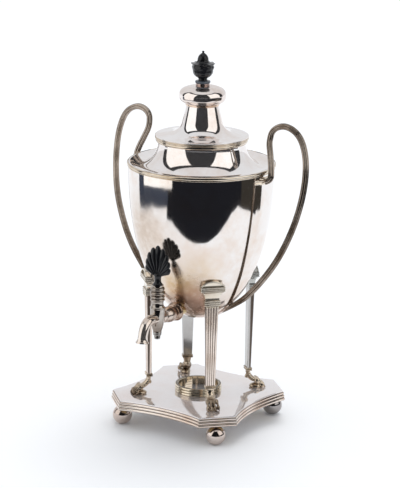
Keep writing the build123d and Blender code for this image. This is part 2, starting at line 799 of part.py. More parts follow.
bulb_waist = bead_top + bulb_waist_height
bulb_shoulder = bead_top + bulb_shoulder_height
bulb_path = Wire([
    ThreePointArc((bulb_foot_radius, bead_top), (bulb_radius - 2, bead_top + 0.42 * bulb_waist_height),
                  (bulb_radius, bulb_waist)),
    ThreePointArc((bulb_radius, bulb_waist), (bulb_radius - 1.8, bulb_waist + 4.4),
                  (bulb_shoulder_radius, bulb_shoulder)),
    Line((bulb_shoulder_radius, bulb_shoulder), (bulb_top_radius, bulb_top)),
    Line((bulb_top_radius, bulb_top), (rod_hole, bulb_top)),
])
save("lid_bulb", sheet(bulb_path, lid_sheet))


# Finial: collar, carved urn, tip, rod and nut

save("finial_collar", reeded_ring(rod_hole, collar_radius, bulb_top, finial_bottom, 1, 0.5))

finial_lines = [
    Line((rod_hole, finial_bottom), (collar_radius - 0.4, finial_bottom)),
    ThreePointArc((collar_radius - 0.4, finial_bottom), (collar_radius + 0.2, finial_bottom + 3),
                  (finial_foot_radius, finial_bottom + finial_foot_height - 1.4)),
    ThreePointArc((finial_foot_radius, finial_bottom + finial_foot_height - 1.4),
                  (finial_foot_radius - 0.3, finial_bottom + finial_foot_height - 0.4),
                  (finial_foot_radius - 1.2, finial_bottom + finial_foot_height)),
    ThreePointArc((finial_foot_radius - 1.2, finial_bottom + finial_foot_height),
                  (finial_neck_radius + 0.6, finial_bottom + finial_neck_height - 1.5),
                  (finial_neck_radius, finial_bottom + finial_neck_height)),
    Spline((finial_neck_radius, finial_bottom + finial_neck_height),
           (finial_cup_radius * 0.8, finial_bottom + (finial_neck_height + finial_cup_height) / 2),
           (finial_cup_radius, finial_bottom + finial_cup_height),
           (finial_lip_radius, finial_bottom + finial_lip_height), tangents=[(1, 0.4), (0.8, 1)]),
    Line((finial_lip_radius, finial_bottom + finial_lip_height),
         (finial_lip_radius - 0.8, finial_bottom + finial_lip_height + 1.2)),
    ThreePointArc((finial_lip_radius - 0.8, finial_bottom + finial_lip_height + 1.2),
                  (finial_top_radius + 3, finial_bottom + finial_lip_height + 2.6),
                  (finial_top_radius, finial_top)),
    Line((finial_top_radius, finial_top), (rod_hole, finial_top)),
    Line((rod_hole, finial_top), (rod_hole, finial_bottom)),
]
save("finial_urn", turned(finial_lines))

tip_middle = finial_top + tip_radius
tip_waist = tip_radius - 1.6
rod_top = tip_middle + tip_radius / 3
save("finial_tip", turned([
    Line((rod_hole, finial_top), (tip_radius - 1.4, finial_top)),
    ThreePointArc((tip_radius - 1.4, finial_top), (tip_radius, tip_middle - 1), (tip_waist, tip_middle + 2)),
    Spline((tip_waist, tip_middle + 2), (tip_radius * 0.42, tip_top - 1.0), (0, tip_top),
           tangents=[(-0.6, 1), (-1, 0)]),
    Polyline((0, tip_top), (0, rod_top + running_gap), (rod_hole, rod_top + running_gap),
             (rod_hole, finial_top)),
]))

nut_top = bell_top - lid_sheet
nut_bottom = nut_top - nut_height
save("finial_nut", hex_nut(rod_radius, nut_bottom))
save("finial_rod", upright(rod_radius, nut_bottom - 1, rod_top))
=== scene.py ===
# %% [markdown]
# This lesson dresses a silver-plated tea urn. A bowl stands on four reeded legs over a square base with an
# empty ring for a spirit lamp. Two loop handles, a plug tap with a black shell key and a lift-off lid
# complete it. The construction comes from CAD and stays where it is. Polished metal shows every facet of a
# coarse mesh, so most visible pieces are modelled again here, finer, on the same lines, and stand for their
# CAD pieces.

# %% Load the construction
import math

import bpy
from mathutils import Matrix, Vector


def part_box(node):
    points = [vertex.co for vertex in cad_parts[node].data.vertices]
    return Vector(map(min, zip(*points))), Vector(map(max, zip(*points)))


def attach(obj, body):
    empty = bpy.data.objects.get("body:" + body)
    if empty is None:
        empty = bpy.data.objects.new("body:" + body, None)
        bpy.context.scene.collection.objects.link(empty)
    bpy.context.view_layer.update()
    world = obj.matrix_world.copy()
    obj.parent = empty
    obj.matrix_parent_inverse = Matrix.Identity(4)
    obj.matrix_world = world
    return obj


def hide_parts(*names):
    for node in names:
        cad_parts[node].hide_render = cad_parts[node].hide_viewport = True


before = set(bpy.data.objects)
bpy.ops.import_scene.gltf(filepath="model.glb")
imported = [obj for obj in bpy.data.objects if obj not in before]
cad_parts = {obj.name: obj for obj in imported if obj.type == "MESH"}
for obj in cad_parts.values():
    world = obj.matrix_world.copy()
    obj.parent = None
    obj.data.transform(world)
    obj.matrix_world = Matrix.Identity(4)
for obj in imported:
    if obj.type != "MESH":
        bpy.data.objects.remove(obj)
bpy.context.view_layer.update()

# %% [markdown]
# The camera stands where the photographer stood. Its place was found by fitting the base, the feet and the
# rim. The numbers are a direction round the urn, a height above the horizon, a distance and a slight roll.

# %% Camera
MM = 0.001
camera_turn = math.radians(31.81)
camera_tilt = math.radians(14.94)
camera_roll = math.radians(-0.85)
camera_distance = 2542 * MM
focus_height = 213.5 * MM

back = Vector((
    math.sin(camera_turn) * math.cos(camera_tilt),
    -math.cos(camera_turn) * math.cos(camera_tilt),
    math.sin(camera_tilt)))
level_right = Vector((math.cos(camera_turn), math.sin(camera_turn), 0))
level_up = back.cross(level_right)
right = level_right * math.cos(camera_roll) - level_up * math.sin(camera_roll)
up = level_up * math.cos(camera_roll) + level_right * math.sin(camera_roll)


def new_object(name, data):
    """A new object of the scene."""
    made = bpy.data.objects.new(name, data)
    bpy.context.scene.collection.objects.link(made)
    return made


camera_data = bpy.data.cameras.new("camera")
camera_data.lens = 161.7
camera = new_object("camera", camera_data)
camera.matrix_world = Matrix((
    (right.x, up.x, back.x, 0), (right.y, up.y, back.y, 0), (right.z, up.z, back.z, 0), (0, 0, 0, 1)))
camera.location = Vector((0, 0, focus_height)) - level_right * 0.42 * MM + back * camera_distance
bpy.context.scene.camera = camera
print("Camera at", [round(value, 3) for value in camera.location])

# %% [markdown]
# Polished silver shows the room rather than itself, so the studio matters more than the metal's own colour.
# The bowl in the photograph shows a white table that ends about 40 cm in front of the urn, a dark room
# beyond it, and a soft white light on each side. The room and the lights are cards that only reflections
# see. The floor that the camera sees stays plain and pale all round.

# %% Studio cards
forward_level = Vector((math.sin(camera_turn), -math.cos(camera_turn), 0))


def studio_point(to_right, to_front, height):
    """A point of the studio, in millimetres to the camera's right, towards the camera and up."""
    return (level_right * to_right + forward_level * to_front + Vector((0, 0, height))) * MM


def card(name, corners, faces, colour, strength):
    """A glowing card that only reflections see."""
    mesh = bpy.data.meshes.new(name)
    mesh.from_pydata(corners, [], faces)
    made = new_object(name, mesh)
    glow = bpy.data.materials.new(name)
    glow.use_nodes = True
    glow.node_tree.nodes.clear()
    emission = glow.node_tree.nodes.new("ShaderNodeEmission")
    emission.inputs["Color"].default_value = (*colour, 1)
    emission.inputs["Strength"].default_value = strength
    output = glow.node_tree.nodes.new("ShaderNodeOutputMaterial")
    glow.node_tree.links.new(emission.outputs[0], output.inputs["Surface"])
    mesh.materials.append(glow)
    made.visible_camera = False
    made.visible_diffuse = False
    made.visible_shadow = False
    print("Card", name, "with", len(faces), "faces")


def wall(name, start, end, reach, bottom, top, colour, strength, steps, top_start=None, top_end=None):
    """An upright card between two directions round the urn, in degrees from the camera's direction."""
    edges = [
        (bottom, start, end),
        (top, start if top_start is None else top_start, end if top_end is None else top_end)]
    corners = []
    for step in range(steps + 1):
        for height, first, last in edges:
            turn = math.radians(first + (last - first) * step / steps)
            corners.append(studio_point(reach * math.sin(turn), reach * math.cos(turn), height))
    faces = [(2 * step, 2 * step + 2, 2 * step + 3, 2 * step + 1) for step in range(steps)]
    card(name, corners, faces, colour, strength)


table_edge = [
    (-1400, -330), (-805, -250), (-803, 202), (-670, 492), (-526, 369), (-440, 423), (-283, 418), (-68, 402),
    (85, 408), (257, 439), (366, 460), (539, 481), (707, 427), (758, 129), (728, -79), (1400, -330)]
edge_inner = [studio_point(x, y, 0.4) for x, y in table_edge]
edge_outer = []
for x, y in table_edge:
    stretch = 5200 / math.hypot(x, y + 900)
    edge_outer.append(studio_point(x * stretch, (y + 900) * stretch - 900, 0.4))
count = len(table_edge)
card("room_floor", edge_inner + edge_outer,
     [(n, n + 1, count + n + 1, count + n) for n in range(count - 1)], (0.62, 0.66, 0.85), 0.022)


def floor_patch(name, start, end, inner, outer, colour, strength):
    """A patch of the room's floor between two directions and two distances from the urn."""
    corners = []
    for degrees in (start, (start + end) / 2, end):
        turn = math.radians(degrees)
        for reach in (inner, outer):
            corners.append(studio_point(reach * math.sin(turn), reach * math.cos(turn), 0.8))
    card(name, corners, [(0, 2, 3, 1), (2, 4, 5, 3)], colour, strength)


floor_patch("grey_floor_left", -112, -52, 812, 2400, (0.55, 0.66, 0.95), 0.09)
floor_patch("brown_floor_right", 64, 108, 800, 2400, (0.95, 0.86, 0.74), 0.045)
wall("room_wall", -113, 113, 5000, -200, 8600, (0.7, 0.75, 0.9), 0.016, 24)
wall("left_light", -99, -45, 1050, 30, 1500, (1.0, 0.99, 0.97), 1.2, 6, top_end=-30)
wall("right_light", 38, 92, 1500, 300, 2200, (1.0, 0.99, 0.97), 1.2, 6, top_start=27)

# %% [markdown]
# The floor is a large pale sheet. The world around it is white and even. A wide, soft sun from behind lets
# the shadow fall forwards from under the base, and the silver doesn't mirror it.

# %% Floor, world and lamp
bpy.ops.object.select_all(action="DESELECT")
bpy.ops.mesh.primitive_plane_add(size=80)
floor = bpy.context.object
floor.name = "floor"
paper = bpy.data.materials.new("floor_paper")
paper.use_nodes = True
paper_inputs = paper.node_tree.nodes["Principled BSDF"].inputs
paper_inputs["Base Color"].default_value = (0.965, 0.98, 1.0, 1)
paper_inputs["Roughness"].default_value = 0.9
paper_inputs["Specular IOR Level"].default_value = 0.1
floor.data.materials.append(paper)

world = bpy.data.worlds.new("white_studio")
bpy.context.scene.world = world
world.use_nodes = True
sky_inputs = world.node_tree.nodes["Background"].inputs
sky_inputs["Color"].default_value = (0.97, 0.98, 1.0, 1)
sky_inputs["Strength"].default_value = 0.84

lamp_data = bpy.data.lights.new("soft_sun", "SUN")
lamp_data.energy = 0.95
lamp_data.angle = math.radians(38)
lamp = new_object("soft_sun", lamp_data)
lamp.location = studio_point(250, -700, 1500)
lamp.rotation_euler = (-lamp.location).to_track_quat("-Z", "Y").to_euler()
lamp.visible_glossy = False
bpy.context.scene.view_settings.view_transform = "Standard"
print("Floor, world and lamp are in place")

# %% [markdown]
# Materials are sums on signals: a Signal wraps one socket, and adding or multiplying it adds a Math node. A
# Finish is one material. Its node method makes any other node from its type, its settings and its inputs.

# %% Material helpers


class Signal:
    """A value on its way through a material's nodes."""

    def __init__(self, finish, socket):
        self.finish = finish
        self.socket = socket

    def maths(self, operation, other=0.0):
        """A Math node on this signal. Operations on one value leave the other one unread."""
        return self.finish.node("ShaderNodeMath", {"operation": operation}, [self, other])

    def __add__(self, other):
        return self.maths("ADD", other)

    def __sub__(self, other):
        return self.maths("SUBTRACT", other)

    def __rsub__(self, other):
        return self.finish.node("ShaderNodeMath", {"operation": "SUBTRACT"}, [other, self])

    def __mul__(self, other):
        return self.maths("MULTIPLY", other)

    def __truediv__(self, other):
        return self.maths("DIVIDE", other)

    def clamped(self):
        """The signal kept between 0 and 1."""
        return self.finish.node("ShaderNodeMath", {"operation": "ADD", "use_clamp": True}, [self, 0.0])


class Finish:
    """One material and its nodes."""

    def __init__(self, name, **shader_values):
        self.material = bpy.data.materials.new(name)
        self.material.use_nodes = True
        self.tree = self.material.node_tree
        self.shader = self.tree.nodes["Principled BSDF"]
        for socket_name, value in shader_values.items():
            self.feed(self.shader.inputs[socket_name.replace("_", " ")], value)

    def feed(self, socket, value):
        """Links a signal to a socket, or gives the socket a plain value."""
        if isinstance(value, Signal):
            self.tree.links.new(value.socket, socket)
        else:
            socket.default_value = value

    def node(self, kind, settings=None, inputs=(), output=0):
        """Makes a node, fills its settings and inputs, and returns one output as a signal."""
        made = self.tree.nodes.new(kind)
        for key, value in (settings or {}).items():
            setattr(made, key, value)
        pairs = inputs.items() if isinstance(inputs, dict) else enumerate(inputs)
        for key, value in pairs:
            self.feed(made.inputs[key], value)
        return Signal(self, made.outputs[output])

    def place(self, stretch=(1, 1, 1)):
        """The piece's own coordinates, in metres, stretched along the axes."""
        point = self.node("ShaderNodeTexCoord", output="Object")
        return self.node("ShaderNodeVectorMath", {"operation": "MULTIPLY"}, [point, stretch])

    def noise(self, scale, detail, stretch=(1, 1, 1)):
        """A cloudy value around 0.5. A greater scale makes smaller clouds."""
        return self.node("ShaderNodeTexNoise", {}, {
            "Vector": self.place(stretch), "Scale": scale, "Detail": detail, "Roughness": 0.55})

    def mix(self, share, first, second):
        """A colour between two. share is how much of the second one it holds."""
        return self.node("ShaderNodeMix", {"data_type": "RGBA"}, {0: share, 6: first, 7: second}, output=2)

    def along(self, axis):
        """The piece's own coordinate along X, Y or Z, in metres."""
        return self.node("ShaderNodeSeparateXYZ", {}, [self.place()], output=axis)

    def rise(self, bottom, top):
        """0 below one height of the piece and 1 above another, in millimetres."""
        return ((self.along("Z") - bottom * MM) * (1 / ((top - bottom) * MM))).clamped()

    def between(self, bottom, top, soft=0.1):
        """1 between two heights of the piece, in millimetres, and 0 below and above them."""
        return self.rise(bottom - soft, bottom + soft) * (1 - self.rise(top - soft, top + soft))

    def reed_gaps(self, bottom, pitch, sharpness):
        """1 in the grooves between level reeds that start at a height, and 0 on their crowns."""
        wave = ((self.along("Z") - bottom * MM) * (math.pi / (pitch * MM))).maths("SINE")
        return (1 - wave.maths("ABSOLUTE")).maths("POWER", sharpness)

    def near(self, centre, size):
        """1 at a place of the piece, given in millimetres, and 0 further off than size."""
        distance = self.node("ShaderNodeVectorMath", {"operation": "DISTANCE"},
                             [self.place(), [value * MM for value in centre]], output="Value")
        return (1 - distance * (1 / (size * MM))).clamped()

    def bump(self, height, depth):
        """Lets a signal raise the surface, by a depth in millimetres."""
        normal = self.node("ShaderNodeBump", {}, {"Height": height, "Distance": depth * MM})
        self.feed(self.shader.inputs["Normal"], normal)


print("Helpers for materials are ready")

# %% [markdown]
# Old silver plate is bright but never even. Handling and polish leave it warm in clouds, and where the
# plate is thin the base metal shines through pink or gold. One function makes all these silvers: two tints
# mixed by a cloudy noise, roughness that rises where the metal is dull, fine wiping marks, and very shallow
# dents. Some silvers also carry painted shade: the grooves between reeds are darkened as painted shade with
# tarnish, the legs and balls behind get a painted dark tint, and the dark tints of the handles, the barrel
# and the knob are painted reflections of the dark room. The paws' dark tint is partly tarnish and partly
# painted shade.

# %% Silver finishes


def low(node):
    """The lowest height of a CAD node, in millimetres."""
    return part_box(node)[0].z / MM


def high(node):
    """The greatest height of a CAD node, in millimetres."""
    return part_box(node)[1].z / MM


def silver(
        name, pale, warm, warmth, polish, dents, spots=(), warm_below=None, grooves=None, part=None, haze=0.0):
    """Worn silver plate. spots are places with their size in millimetres and their tint.
    warm_below is a height below which the plate is warmer and darker, and one above which it is paler.
    grooves(finish) is 1 in a groove, which is darkened as painted shade with tarnish, and 0 on open metal.
    part is a mask of the same kind with a tint painted there, used as painted shade on the legs behind.
    haze is the share of the light that fine scratches scatter."""
    finish = Finish(name, Metallic=1 - haze)
    cloud = finish.noise(24, 4)
    speckle = finish.noise(210, 3)
    share = (cloud - 0.40) * 3.2 * warmth + (finish.noise(75, 4) - 0.5) * 0.8 + (speckle - 0.5) * 0.5
    # Warmer and darker below one height, paler above another.
    if warm_below:
        share = share + (1 - finish.rise(*warm_below)) * 0.7 - 0.25
    share = share.clamped()
    colour = finish.mix(share, (*pale, 1), (*warm, 1))
    dull = share * 0.05
    for centre, size, tint in spots:
        mask = (finish.near(centre, size) * 2.2 * finish.noise(130, 4)).clamped()
        colour = finish.mix(mask, colour, (*tint, 1))
        dull = dull + mask * 0.15
    # A painted tint over one part: painted shade on the legs and balls behind.
    if part:
        mask, tint = part
        colour = finish.mix(mask(finish) * 0.6, colour, (*tint, 1))
    # The grooves are darkened with painted shade mixed with tarnish.
    if grooves:
        groove_shade_and_tarnish = grooves(finish)
        colour = finish.mix(groove_shade_and_tarnish, colour, (*GROOVE_SHADE_AND_TARNISH, 1))
        dull = dull + groove_shade_and_tarnish * 0.2
    marks = finish.noise(900, 2, (1, 1, 0.08))
    finish.feed(finish.shader.inputs["Base Color"], colour)
    finish.feed(finish.shader.inputs["Roughness"], dull + marks * 0.05 + (polish - 0.02))
    finish.bump(finish.noise(38, 2) + marks * 0.01, dents)
    return finish.material


# The dark of the grooves: painted shade with tarnish.
GROOVE_SHADE_AND_TARNISH = (0.10, 0.075, 0.06)
GOLD = (0.62, 0.42, 0.17)
ROSE = (0.62, 0.38, 0.28)
DARK = (0.16, 0.11, 0.08)
BEIGE = (0.66, 0.55, 0.46)
FAR_LEG_SHADE = (0.31, 0.36, 0.39)

body_silver = silver(
    "body_silver", (0.87, 0.83, 0.80), (0.76, 0.62, 0.52), 0.8, 0.05, 0.06,
    [((-34, -75, 235), 62, BEIGE), ((34, -58, 196), 34, (0.80, 0.66, 0.52)),
     ((30, -60, 166), 34, (0.63, 0.47, 0.35)), ((10, -66, 172), 30, GOLD), ((22, -56, 152), 40, ROSE),
     ((16, -52, 140), 30, (0.42, 0.26, 0.19)), ((6, -52, 140), 32, DARK)], (150, 270))
lid_silver = silver("lid_silver", (0.90, 0.87, 0.86), (0.80, 0.70, 0.64), 0.8, 0.045, 0.03, haze=0.05)
bulb_silver = silver("bulb_silver", (0.86, 0.80, 0.77), (0.70, 0.56, 0.48), 0.9, 0.05, 0.03, haze=0.04)
edge_silver = silver("edge_silver", (0.76, 0.68, 0.58), (0.52, 0.40, 0.27), 1.0, 0.08, 0.02)
base_silver = silver("base_silver", (0.86, 0.83, 0.83), (0.84, 0.76, 0.73), 0.8, 0.07, 0.03, haze=0.25)
moulding_silver = silver(
    "moulding_silver", (0.86, 0.77, 0.70), (0.68, 0.52, 0.42), 1.0, 0.08, 0.02,
    grooves=lambda finish: finish.reed_gaps(low("base_moulding"), 3.4, 2.2))


shaft_low, shaft_high = low("leg_shaft_1"), high("leg_shaft_1")
reed_width_low, reed_width_high = 2.2, 3.06
shaft_front = 59.5


def leg_grooves(finish):
    """1 between the reeds along the legs' shafts, which stand on the diagonals and widen upwards."""
    x, y = finish.along("X"), finish.along("Y")
    beside = (x + y).maths("ABSOLUTE").maths("MINIMUM", (x - y).maths("ABSOLUTE")) * math.sqrt(0.5)
    widening = (reed_width_high - reed_width_low) * MM
    pitch = finish.rise(shaft_low, shaft_high) * widening + reed_width_low * MM
    wave = (beside / pitch * math.pi).maths("COSINE")
    gap = (1 - wave.maths("ABSOLUTE")).maths("POWER", 1.6)
    level = finish.place((1, 1, 0))
    from_axis = finish.node("ShaderNodeVectorMath", {"operation": "LENGTH"}, [level], output="Value")
    in_front = ((from_axis - shaft_front * MM) * (1 / (1.5 * MM))).clamped()
    return gap * in_front * finish.between(shaft_low, shaft_high, 1)


def far_legs_in_shade(finish):
    """1 on the two legs behind, which get painted shade, and 0 on the two in front."""
    return (finish.along("Y") * 40).clamped()


def capital_grooves(finish):
    """1 between the reeds at a capital's foot and top."""
    foot, top = shaft_high, shaft_high + 17
    foot_gaps = finish.reed_gaps(foot, 7 / 3, 2.0) * finish.between(foot, foot + 7)
    return foot_gaps + finish.reed_gaps(top, 2.0, 2.0) * finish.between(top, top + 6)


# The legs behind get a painted blue-grey shade through their part mask.
leg_silver = silver(
    "leg_silver", (0.78, 0.68, 0.62), (0.58, 0.46, 0.39), 1.0, 0.10, 0.03, part=(far_legs_in_shade, FAR_LEG_SHADE))
shaft_silver = silver(
    "shaft_silver", (0.88, 0.77, 0.69), (0.66, 0.53, 0.44), 1.0, 0.09, 0.03, grooves=leg_grooves,
    part=(far_legs_in_shade, FAR_LEG_SHADE), haze=0.22)
capital_silver = silver(
    "capital_silver", (0.84, 0.78, 0.68), (0.62, 0.52, 0.40), 1.0, 0.08, 0.03, grooves=capital_grooves,
    part=(far_legs_in_shade, FAR_LEG_SHADE), haze=0.15)
# The handles' dark tints are painted shade: they stand in for the dark room that the handles mirror.
handle_silver = silver(
    "handle_silver", (0.50, 0.43, 0.37), (0.15, 0.11, 0.08), 0.9, 0.03, 0.04, warm_below=(225, 350))
# The two balls behind get a painted dark tint as shade.
ball_silver = silver(
    "ball_silver", (0.70, 0.61, 0.56), (0.50, 0.40, 0.35), 1.0, 0.08, 0.02,
    part=(far_legs_in_shade, (0.18, 0.20, 0.22)))
ring_silver = silver(
    "ring_silver", (0.80, 0.72, 0.58), (0.54, 0.43, 0.29), 0.9, 0.06, 0.02,
    grooves=lambda finish: finish.reed_gaps(low("burner_ring"), 3.167, 4.0))
tap_silver = silver(
    "tap_silver", (0.82, 0.76, 0.71), (0.66, 0.53, 0.44), 1.0, 0.06, 0.03,
    [((4, -54, 143), 36, (0.36, 0.23, 0.16))], haze=0.08)
# The barrel's dark tints and its two dark spots are painted shade for the dark room that it mirrors.
barrel_silver = silver(
    "barrel_silver", (0.54, 0.50, 0.46), (0.27, 0.22, 0.18), 1.0, 0.05, 0.02,
    [((0, -90, 136), 12, DARK), ((0, -90, 164), 7, DARK)])
# The paws' very dark warm tint is partly tarnish and partly painted shade between the toes.
paw_silver = silver("paw_silver", (0.70, 0.59, 0.46), (0.18, 0.13, 0.09), 1.2, 0.04, 0.03)
# The knob's dark tints are painted shade for the dark room that it mirrors.
knob_silver = silver("knob_silver", (0.40, 0.39, 0.38), (0.22, 0.20, 0.18), 1.0, 0.12, 0.02)
print("Silver finishes are mixed")

# %% [markdown]
# The finial and the tap's key are black: turned and carved hardwood, waxed, with grey lights on its ridges.
# A stretched noise gives the grain, and the wax is a thin coat.

# %% Black wood, copper and brass
black = Finish("black_wood", Specular_IOR_Level=0.2, Coat_Weight=0.5, Coat_Roughness=0.08)
grain = black.noise(240, 4, (1, 1, 0.25))
worn = black.noise(60, 3)
wood_colour = black.mix(
    ((worn - 0.45) * 2.5).clamped(), (0.004, 0.0045, 0.006, 1), (0.014, 0.014, 0.018, 1))
foot_ring = black.between(low("finial_urn") + 3.6, low("finial_urn") + 6.8, 0.2)
black.feed(black.shader.inputs["Base Color"], black.mix(foot_ring, wood_colour, (0.085, 0.10, 0.12, 1)))
black.feed(black.shader.inputs["Roughness"], grain * 0.25 + 0.18)
black.bump(grain, 0.08)
black_wood = black.material

copper_collar = silver("copper_collar", (0.50, 0.38, 0.34), (0.30, 0.22, 0.20), 1.0, 0.14, 0.02)
rose_silver = silver("rose_silver", (0.88, 0.72, 0.60), (0.74, 0.54, 0.40), 1.0, 0.07, 0.02)
brass = silver("bare_brass", (0.66, 0.52, 0.28), (0.48, 0.35, 0.17), 1.0, 0.20, 0.03)
print("Black wood, copper and brass are mixed")

# %% [markdown]
# Most of the urn was raised, spun or turned on a lathe. The lathe of a modelling program is the spin
# operator: a line drawn beside the axis is turned once round it. These helpers draw such lines from arcs,
# reeds and rounded corners, all in millimetres as radius and height.

# %% Lines for turning


def arc(start, middle, end, steps):
    """Points of the arc through three points."""
    ax, ay = start
    bx, by = middle
    cx, cy = end
    twice = 2 * (ax * (by - cy) + bx * (cy - ay) + cx * (ay - by))
    a, b, c = ax * ax + ay * ay, bx * bx + by * by, cx * cx + cy * cy
    ox = (a * (by - cy) + b * (cy - ay) + c * (ay - by)) / twice
    oy = (a * (cx - bx) + b * (ax - cx) + c * (bx - ax)) / twice
    radius = math.hypot(ax - ox, ay - oy)
    first = math.atan2(ay - oy, ax - ox)
    through = math.atan2(by - oy, bx - ox)
    last = math.atan2(cy - oy, cx - ox)
    turn = (last - first) % math.tau
    if (through - first) % math.tau > turn:
        turn -= math.tau
    turns = [first + turn * n / steps for n in range(steps + 1)]
    return [(ox + radius * math.cos(turned), oy + radius * math.sin(turned)) for turned in turns]


def reeds(start, end, count, rise, steps):
    """Points of round reeds side by side, standing out to the right of the way from start to end."""
    (x, y), (to_x, to_y) = start, end
    step_x, step_y = (to_x - x) / count, (to_y - y) / count
    length = math.hypot(step_x, step_y)
    out_x, out_y = step_y / length * rise, -step_x / length * rise
    points = []
    for number in range(count):
        first = (x + step_x * number, y + step_y * number)
        last = (x + step_x * (number + 1), y + step_y * (number + 1))
        middle = ((first[0] + last[0]) / 2 + out_x, (first[1] + last[1]) / 2 + out_y)
        points += arc(first, middle, last, steps)
    return points


def rounded(corners, radii, steps):
    """Points of a line whose inner corners are rounded."""
    points = [corners[0]]
    for number, radius in enumerate(radii, 1):
        corner = Vector(corners[number])
        to_before = (Vector(corners[number - 1]) - corner).normalized()
        to_after = (Vector(corners[number + 1]) - corner).normalized()
        half = to_before.angle(to_after) / 2
        reach = radius / math.tan(half)
        start, end = corner + to_before * reach, corner + to_after * reach
        nearest = corner + (to_before + to_after).normalized() * (radius / math.sin(half) - radius)
        points += arc(tuple(start), tuple(nearest), tuple(end), steps)
    return points + [corners[-1]]


def raised(points, base):
    """Points given over a base, as heights over the floor."""
    return [(radius, base + height) for radius, height in points]


print("A reed of 2 mm:", [tuple(round(v, 2) for v in p) for p in reeds((10, 0), (10, 2), 1, 0.6, 4)])

# %% [markdown]
# Every new piece ends in the same way: its place goes into its mesh, it gets its finish, it rides on a CAD
# body, and it stands for its CAD nodes. Spinning can leave faces that look inwards, so they are all turned
# outwards.


def selected(made):
    """Selects one piece alone and makes it the active one."""
    bpy.ops.object.select_all(action="DESELECT")
    made.select_set(True)
    bpy.context.view_layer.objects.active = made


def finished(made, finish, body, nodes, smooth):
    """Gives a piece its finish and its place on the construction. smooth is the sharpest smooth edge."""
    selected(made)
    bpy.ops.object.transform_apply(location=True, rotation=True, scale=True)
    bpy.ops.object.shade_smooth_by_angle(angle=math.radians(smooth))
    made.data.materials.clear()
    made.data.materials.append(finish)
    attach(made, body)
    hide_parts(*nodes)
    print(made.name, "has", len(made.data.polygons), "faces")


def tidy_mesh():
    """Merges the selected piece's doubles and turns all its faces outwards."""
    bpy.ops.object.mode_set(mode="EDIT")
    bpy.ops.mesh.select_all(action="SELECT")
    bpy.ops.mesh.remove_doubles(threshold=0.002 * MM)
    bpy.ops.mesh.normals_make_consistent(inside=False)
    bpy.ops.object.mode_set(mode="OBJECT")


def joined(pieces):
    """All pieces as one, under the first one's name."""
    bpy.ops.object.select_all(action="DESELECT")
    for piece in pieces:
        piece.select_set(True)
    bpy.context.view_layer.objects.active = pieces[0]
    bpy.ops.object.join()
    return pieces[0]


def spun(name, outline, steps, centre=(0, 0)):
    """A turned solid. outline is a closed line of radius and height beside the axis through centre."""
    mesh = bpy.data.meshes.new(name)
    places = [Vector((centre[0] + radius, centre[1], height)) * MM for radius, height in outline]
    mesh.from_pydata(places, [(n, (n + 1) % len(places)) for n in range(len(places))], [])
    made = new_object(name, mesh)
    selected(made)
    bpy.ops.object.mode_set(mode="EDIT")
    bpy.ops.mesh.select_all(action="SELECT")
    bpy.ops.mesh.spin(steps=steps, angle=math.tau, center=(centre[0] * MM, centre[1] * MM, 0), axis=(0, 0, 1))
    tidy_mesh()
    return made


print("Helpers for pieces are ready")

# %% [markdown]
# The bowl is a deep egg shape, cut off at its widest line. Its outline is a superellipse, a little fuller
# than an ellipse. It is drawn once outside and once inside, one wall thickness smaller, and spun with many
# steps, because it mirrors the whole room.

# %% Bowl
bowl_radius = 84.0
bowl_bottom, collar_top = low("body_bowl"), high("body_bowl")
collar_depth = 4.5
bowl_top = collar_top - collar_depth
bowl_depth = bowl_top - bowl_bottom
bowl_wall = 1.2
bowl_power = 2.1


def bowl_line(grow):
    """The bowl's outline from its lowest point up to its widest line, moved outwards by grow."""
    points, steps = [], 56
    for step in range(steps + 1):
        angle = math.pi / 2 * (1 - step / steps)
        points.append((
            (bowl_radius + grow) * abs(math.cos(angle)) ** (2 / bowl_power),
            bowl_top - (bowl_depth + grow) * math.sin(angle) ** (2 / bowl_power)))
    points[0] = (0, bowl_top - bowl_depth - grow)
    return points


def bowl_width(height):
    """The bowl's outer radius at a height."""
    share = min(max((bowl_top - height) / bowl_depth, 0), 1)
    return bowl_radius * (1 - share ** bowl_power) ** (1 / bowl_power)


outside = bowl_line(0) + [(bowl_radius, collar_top)]
inside = [(bowl_radius - bowl_wall, collar_top)] + bowl_line(-bowl_wall)[::-1]
bowl = spun("bowl", outside + inside, 160)
finished(bowl, body_silver, "urn", ["body_bowl"], 40)

# %% [markdown]
# The rim is a round bead with a thin one below it. The shoulder is a dished ledge that turns up into a
# hollow neck, and the mouth ring closes it. All three are spun.

# %% Rim, shoulder and mouth
rim_low, rim_high = low("body_rim"), high("body_rim")
rim_bore = bowl_radius + 0.2
rim_line = [(rim_bore, rim_high), (rim_bore, rim_low)]
rim_line += arc((84.4, rim_low), (85.1, rim_low + 0.6), (84.6, rim_low + 1.2), 6)
rim_line += arc((84.6, rim_low + 1.3), (85.85, rim_low + 3.3), (84.5, rim_high), 14)
rim = spun("rim", rim_line, 144)
finished(rim, edge_silver, "urn", ["body_rim"], 30)

crease_radius = 66.0
neck_radius = 50.0
neck_top = low("mouth_ring")
ledge_top = collar_top + bowl_wall
crease = ledge_top - 3.1


def hollow_neck(thickness):
    """The neck's hollow curve from the crease up, moved inwards by thickness."""
    swell, height, steps = crease_radius - neck_radius, neck_top - crease, 22
    hollow = (swell ** 2 + height ** 2) / (2 * swell)
    reach = hollow + thickness
    turns = [math.asin(height / hollow) * (1 - n / steps) for n in range(steps + 1)]
    return [
        (neck_radius + hollow - reach * math.cos(turn), neck_top - reach * math.sin(turn)) for turn in turns]


